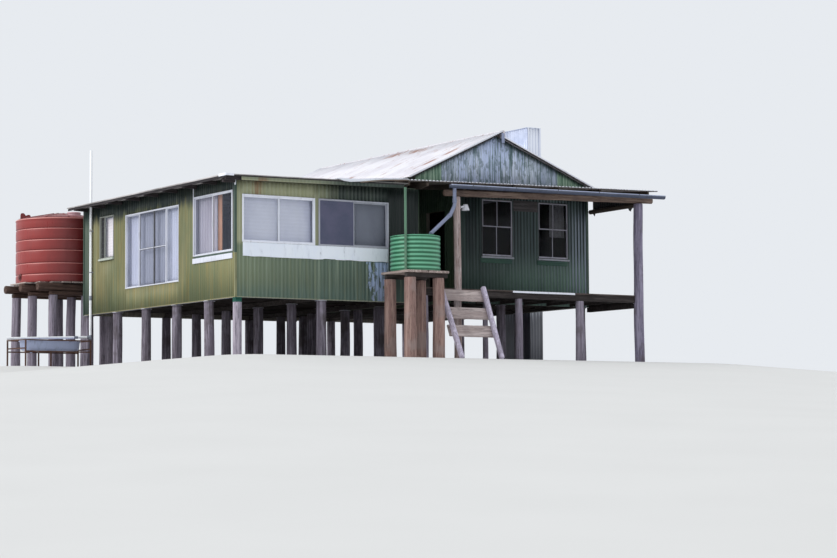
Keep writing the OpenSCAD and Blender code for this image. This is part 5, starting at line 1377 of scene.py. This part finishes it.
lathe(b, (4.44, -0.8), [(0.0, z1 + 0.021), (0.118, z1 + 0.021), (0.124, z1 + 0.028), (0.118, z1 + 0.034), (0.116, z1 + 0.062), (0.125, z1 + 0.066), (0.124, z1 + 0.072), (0.10, z1 + 0.074), (0.0, z1 + 0.066)],
      48, tones=[0.2] * 9)
b.obj(M_GRNT, "green_tank", "green_tank_ends")

# ---------------------------------------------------------------- tank stands
b = B("green_tank_stand_logs")
for i, (x, y) in enumerate(((3.69, -0.39), (3.69, -1.21), (4.43, -1.21), (4.49, -0.39))):
    log(b, (x, y, 0), (x, y, H + 0.477), 0.138, 0.128, seed=310 + i, rough=0.08, checks=7, wander=0.02, step=0.1, seg=28)
for i, y in enumerate((-1.28, -0.44)):
    beam(b, (3.56, y + 0.055, H + 0.5295), (4.64, y + 0.055, H + 0.5295), 0.106, 0.097, seed=320 + i, jit=0.006, ch=0.012, step=0.2, mi=1)
for i in range(6):
    x = 3.54 + i * 0.184 + 0.09
    beam(b, (x, -1.345, H + 0.6075), (x, -0.255, H + 0.6075), 0.174, 0.052, seed=330 + i, jit=0.004, ch=0.007, step=0.25, mi=2, ends=0.012)
b.obj([M_GPOST, M_FRAMEX, M_GPLANK], "stand_timber", "green_tank_stand")

b = B("red_tank_stand_logs")
k = 340
for y, xs, x0 in ((9.6, (-0.96, 0.18, 1.0), -1.25), (8.7, (-0.92, 0.10, 1.0), -1.24), (8.06, (-0.65, 0.2, 0.85), -1.07)):
    for x in xs:
        k += 1
        log(b, (x, y, 0), (x, y, H + 0.506), 0.121, 0.112, seed=k, rough=0.07, checks=6, wander=0.018)
    beam(b, (xs[0] - 0.09, y, H + 0.557), (1.11, y, H + 0.557), 0.148, 0.094, seed=k, jit=0.006, ch=0.012, mi=1, step=0.25)
    log(b, (x0, y, H + 0.706), (1.18, y, H + 0.706), 0.101, 0.095, seed=k + 30, rough=0.05, checks=5, wander=0.004, mi=1, seg=26)
for i in range(10):
    x0, x1 = -1.17 + i * 0.236, -1.17 + i * 0.236 + 0.226
    xm = min(abs(x0), abs(x1)) if x0 * x1 > 0 else 0.0
    r = 1.155
    for side in (1,):
        xe = max(abs(x0), abs(x1))
        L = math.sqrt(max(r * r - min((x0 + x1) / 2, 9) ** 2, 0.09))
        beam(b, ((x0 + x1) / 2, RC[1] - L, H + 0.822), ((x0 + x1) / 2, RC[1] + L, H + 0.822), 0.220, 0.030, seed=380 + i, jit=0.003, ch=0.005, mi=2, step=0.3, ends=0.015)
b.obj([M_RPOST, M_RBEAR, M_RPLANK], "stand_timber", "red_tank_stand")

# ---------------------------------------------------------------- edges, fascias and small pieces
b = B("eave_boards")
for i, (y0, y1) in enumerate(((-0.28, 2.55), (2.553, 5.2), (5.203, 7.83))):
    beam(b, (-0.372, y0, lean_under(-0.372) - 0.028), (-0.372, y1, lean_under(-0.372) - 0.028), 0.020, 0.052, seed=400 + i, jit=0.003, step=0.3, mi=1)
# painted shade: a thin dark board for the shade line under the lean-to's front roof edge
beam(b, (-0.36, -0.276, lean_under(-0.3) - 0.010), (4.14, -0.276, lean_under(4.14) - 0.010), 0.020, 0.018, seed=405, jit=0.002, step=0.3, mi=1)
# front fascia board in the wall's finish, at tone 0 for painted shade under the eave
beam(b, (0.0, -0.2785, lean_under(0.0) - 0.050), (4.146, -0.2785, lean_under(4.146) - 0.050), 0.006, 0.084, seed=408, jit=0.001, step=0.3, tone=0.0, mi=4)
beam(b, (-0.400, -0.30, lean_under(-0.398) + 0.014), (-0.400, 7.85, lean_under(-0.398) + 0.014), 0.004, 0.026, seed=406, jit=0.003, step=0.3, tone=0.9)
beam(b, (-0.398, -0.304, lean_under(-0.398) + 0.018), (2.37, -0.304, lean_under(2.37) + 0.018), 0.004, 0.018, seed=407, jit=0.003, step=0.3, tone=0.9)
# folded corner piece, rafter end and small strut at the near corner
beam(b, (-0.404, -0.31, lean_under(-0.4) + 0.014), (-0.404, 0.0, lean_under(-0.4) + 0.014), 0.010, 0.058, seed=411, jit=0.002, step=0.1, tone=0.95, mi=2)
beam(b, (-0.41, -0.309, lean_under(-0.4) + 0.014), (-0.20, -0.309, lean_under(-0.4) + 0.014), 0.010, 0.050, seed=412, jit=0.002, step=0.1, tone=0.95, mi=2)
beam(b, (-0.335, -0.04, lean_under(-0.3) - 0.080), (-0.04, -0.04, lean_under(-0.3) - 0.080), 0.075, 0.095, seed=413, jit=0.006, step=0.1, mi=3)
beam(b, (-0.030, -0.045, H + 2.42), (-0.030, -0.045, H + 2.585), 0.032, 0.020, (0, 1, 0), 0.003, seed=414, mi=2)
b.obj([M_EDGE, M_SHADEW, M_WHITE, M_TAIL, M_FRONT], "roof_iron")

# sagging front lip of the lapped sheet, and the thin board under it
b = B("entry_edge_lip")
LIP = [(2.372, 0.010), (2.53, 0.056), (2.70, 0.070), (2.955, 0.056), (3.28, 0.038), (3.58, 0.026), (4.205, 0.014)]
verts = []
for x, d in LIP:
    z = entry_under(x) + 0.016
    verts += [(x, -0.3445, z - d), (x, -0.3445, z), (x, -0.330, z)]
b.add(verts, [(j * 3 + k, j * 3 + 3 + k, j * 3 + 4 + k, j * 3 + 1 + k) for j in range(len(LIP) - 1) for k in (0, 1)], 0.6, 0)
verts = []
for x, d in LIP[3:]:
    z = entry_under(x) + 0.013 - d
    verts += [(x, -0.342, z - 0.024), (x, -0.342, z)]
b.add(verts, [(j * 2, j * 2 + 2, j * 2 + 3, j * 2 + 1) for j in range(len(LIP) - 4)], 0.5, 1)
b.obj([M_WHITE, M_LIPB], "white_roof", thick=0.002, offset=0)

b = B("finial_board")
beam(b, (8.332, 1.823, H + 4.097), (8.332, 1.823, H + 4.338), 0.078, 0.028, (0, 1, 0), 0.006, seed=8, jit=0.003, tone=0.6)
b.obj(M_FINIAL, "white_panel", "gable_finial")

# bright rib ends as painted highlight and dark pieces in the valleys as painted shade, along the verandah roof's front
# edge
b = B("verandah_edge_lips")
for i in range(73):
    for c0, c1, mi, lo_, hi_ in ((-0.27, 0.27, 0, -0.007, 0.009), (0.27, 0.73, 1, -0.006, 0.005)):
        verts, m_ = [], 6
        for j in range(m_ + 1):
            q = i + c0 + (c1 - c0) * j / m_
            x = min(max(4.218 + 0.098 * q, 4.219), 11.379)
            z = ver_under(x, -0.338) + 0.016 + 0.0125 * math.cos(2 * math.pi * q)
            verts += [(x, -0.3385, z + lo_), (x, -0.3385, z + hi_), (x, -0.318, z + hi_)]
        b.add(verts, [(j * 3 + k, j * 3 + 3 + k, j * 3 + 4 + k, j * 3 + 1 + k) for j in range(m_) for k in (0, 1)], 0.5 + 0.3 * math.sin(i * 2.3), mi)
b.obj([M_WHITE, M_SHADEW], "roof_iron", thick=0.001, offset=0)

# ragged old sheet hung along the verandah's open end
rag = [(2.14, 2.85), (2.06, 2.76), (1.99, 2.60), (1.878, 2.448), (1.80, 2.56), (1.73, 2.58), (1.49, 2.569), (1.25, 2.572), (0.85, 2.573), (0.57, 2.547), (0.413, 2.44),
       (0.34, 2.54), (0.29, 2.575), (0.16, 2.60)]


def rag_low(u):
    pts = sorted(rag)
    for (a, za), (c, zc) in zip(pts, pts[1:]):
        if a <= u <= c:
            return za + (zc - za) * (u - a) / (c - a) + H
    return H + 2.6


RAG = Pl((11.115, 0, 0), (0, 1, 0), (0, 0, 1), (1, 0, 0))
b = B("verandah_end_sheet")
ribs(b, RAG.p, 0.165, 1.93, lambda u: min(rag_low(u) + 0.008 * math.sin(u * 37), ver_under(11.1, u) - 0.03), lambda u: ver_under(11.1, u) - 0.012, seed=61, base=0.0, pitch=0.09)
b.obj(M_RAG, "roof_iron", thick=0.0014, angle=75)


# ---------------------------------------------------------------- stage, light and camera
FOOT = [(-0.3, 11.7, -1.25, 10.55), (-2.15, 0.0, 6.6, 7.8), (-1.35, 1.3, 7.85, 10.0)]


def ground(x, y):
    """Level under the part, falling away all round so that the feet show from a low viewpoint."""
    d = min(math.hypot(max(a - x, 0.0, x - c), max(e - y, 0.0, y - g)) for a, c, e, g in FOOT) - 0.25
    if d <= 0:
        return 0.0
    return -min(0.085 * d * (1 - math.exp(-d / 0.8)), 5.5)


def build_floor():
    xs = [-90 + i * 3.5 for i in range(25)] + [-5.0 + i * 0.25 for i in range(74)] + [14 + i * 3.6 for i in range(22)]
    ys = [-90 + i * 3.5 for i in range(25)] + [-5.0 + i * 0.25 for i in range(74)] + [14 + i * 3.6 for i in range(22)]
    v = [(x, y, ground(x, y) - 0.002) for y in ys for x in xs]
    nx = len(xs)
    f = [(j * nx + i, j * nx + i + 1, (j + 1) * nx + i + 1, (j + 1) * nx + i) for j in range(len(ys) - 1) for i in range(nx - 1)]
    me = bpy.data.meshes.new("stage_floor")
    me.from_pydata(v, [], f)
    me.shade_smooth()
    n = NM("stage_pale", rough=0.9, spec=0.1)
    a = n.noise(0.5, (1, 1, 1), 2, 0.5)
    me.materials.append(n.done(n.mix(a, (0.62, 0.62, 0.61, 1), (0.66, 0.66, 0.65, 1))))
    o = bpy.data.objects.new("stage_floor", me)
    bpy.context.scene.collection.objects.link(o)


build_floor()

scene = bpy.context.scene
w = bpy.data.worlds.new("studio") if scene.world is None else scene.world
scene.world = w
w.use_nodes = True
bg = w.node_tree.nodes.get("Background") or w.node_tree.nodes.new("ShaderNodeBackground")
bg.inputs[0].default_value = (0.80, 0.83, 0.87, 1)
bg.inputs[1].default_value = 1.0


def lamp(name, kind, loc, aim, energy, size, colour=(1, 1, 1)):
    d = bpy.data.lights.new(name, kind)
    d.energy, d.color = energy, colour
    if kind == "AREA":
        d.size = size
    else:
        d.angle = size
    o = bpy.data.objects.new(name, d)
    o.location = loc
    o.rotation_euler = (Vector(aim) - Vector(loc)).to_track_quat("-Z", "Y").to_euler()
    scene.collection.objects.link(o)


lamp("soft_key", "SUN", (-32, 11, 30), (5, 4, 2), 2.0, math.radians(40), (1.0, 0.985, 0.96))

cam = bpy.data.cameras.new("camera")
cam.lens, cam.sensor_width, cam.clip_end = 100.5731, 36.0, 400.0
cam_o = bpy.data.objects.new("camera", cam)
R = Vector((0.8401823, -0.5422689, -0.0061743))
U = Vector((-0.0352069, -0.0659032, 0.9972047))
F = Vector((0.54116, 0.8376164, 0.0744623))
m = Matrix((R, U, -F)).transposed().to_4x4()
m.translation = Vector((-23.91267, -44.2702165, -2.087083))
cam_o.matrix_world = m
scene.collection.objects.link(cam_o)
scene.camera = cam_o
scene.view_settings.view_transform = "Standard"

bpy.context.view_layer.update()
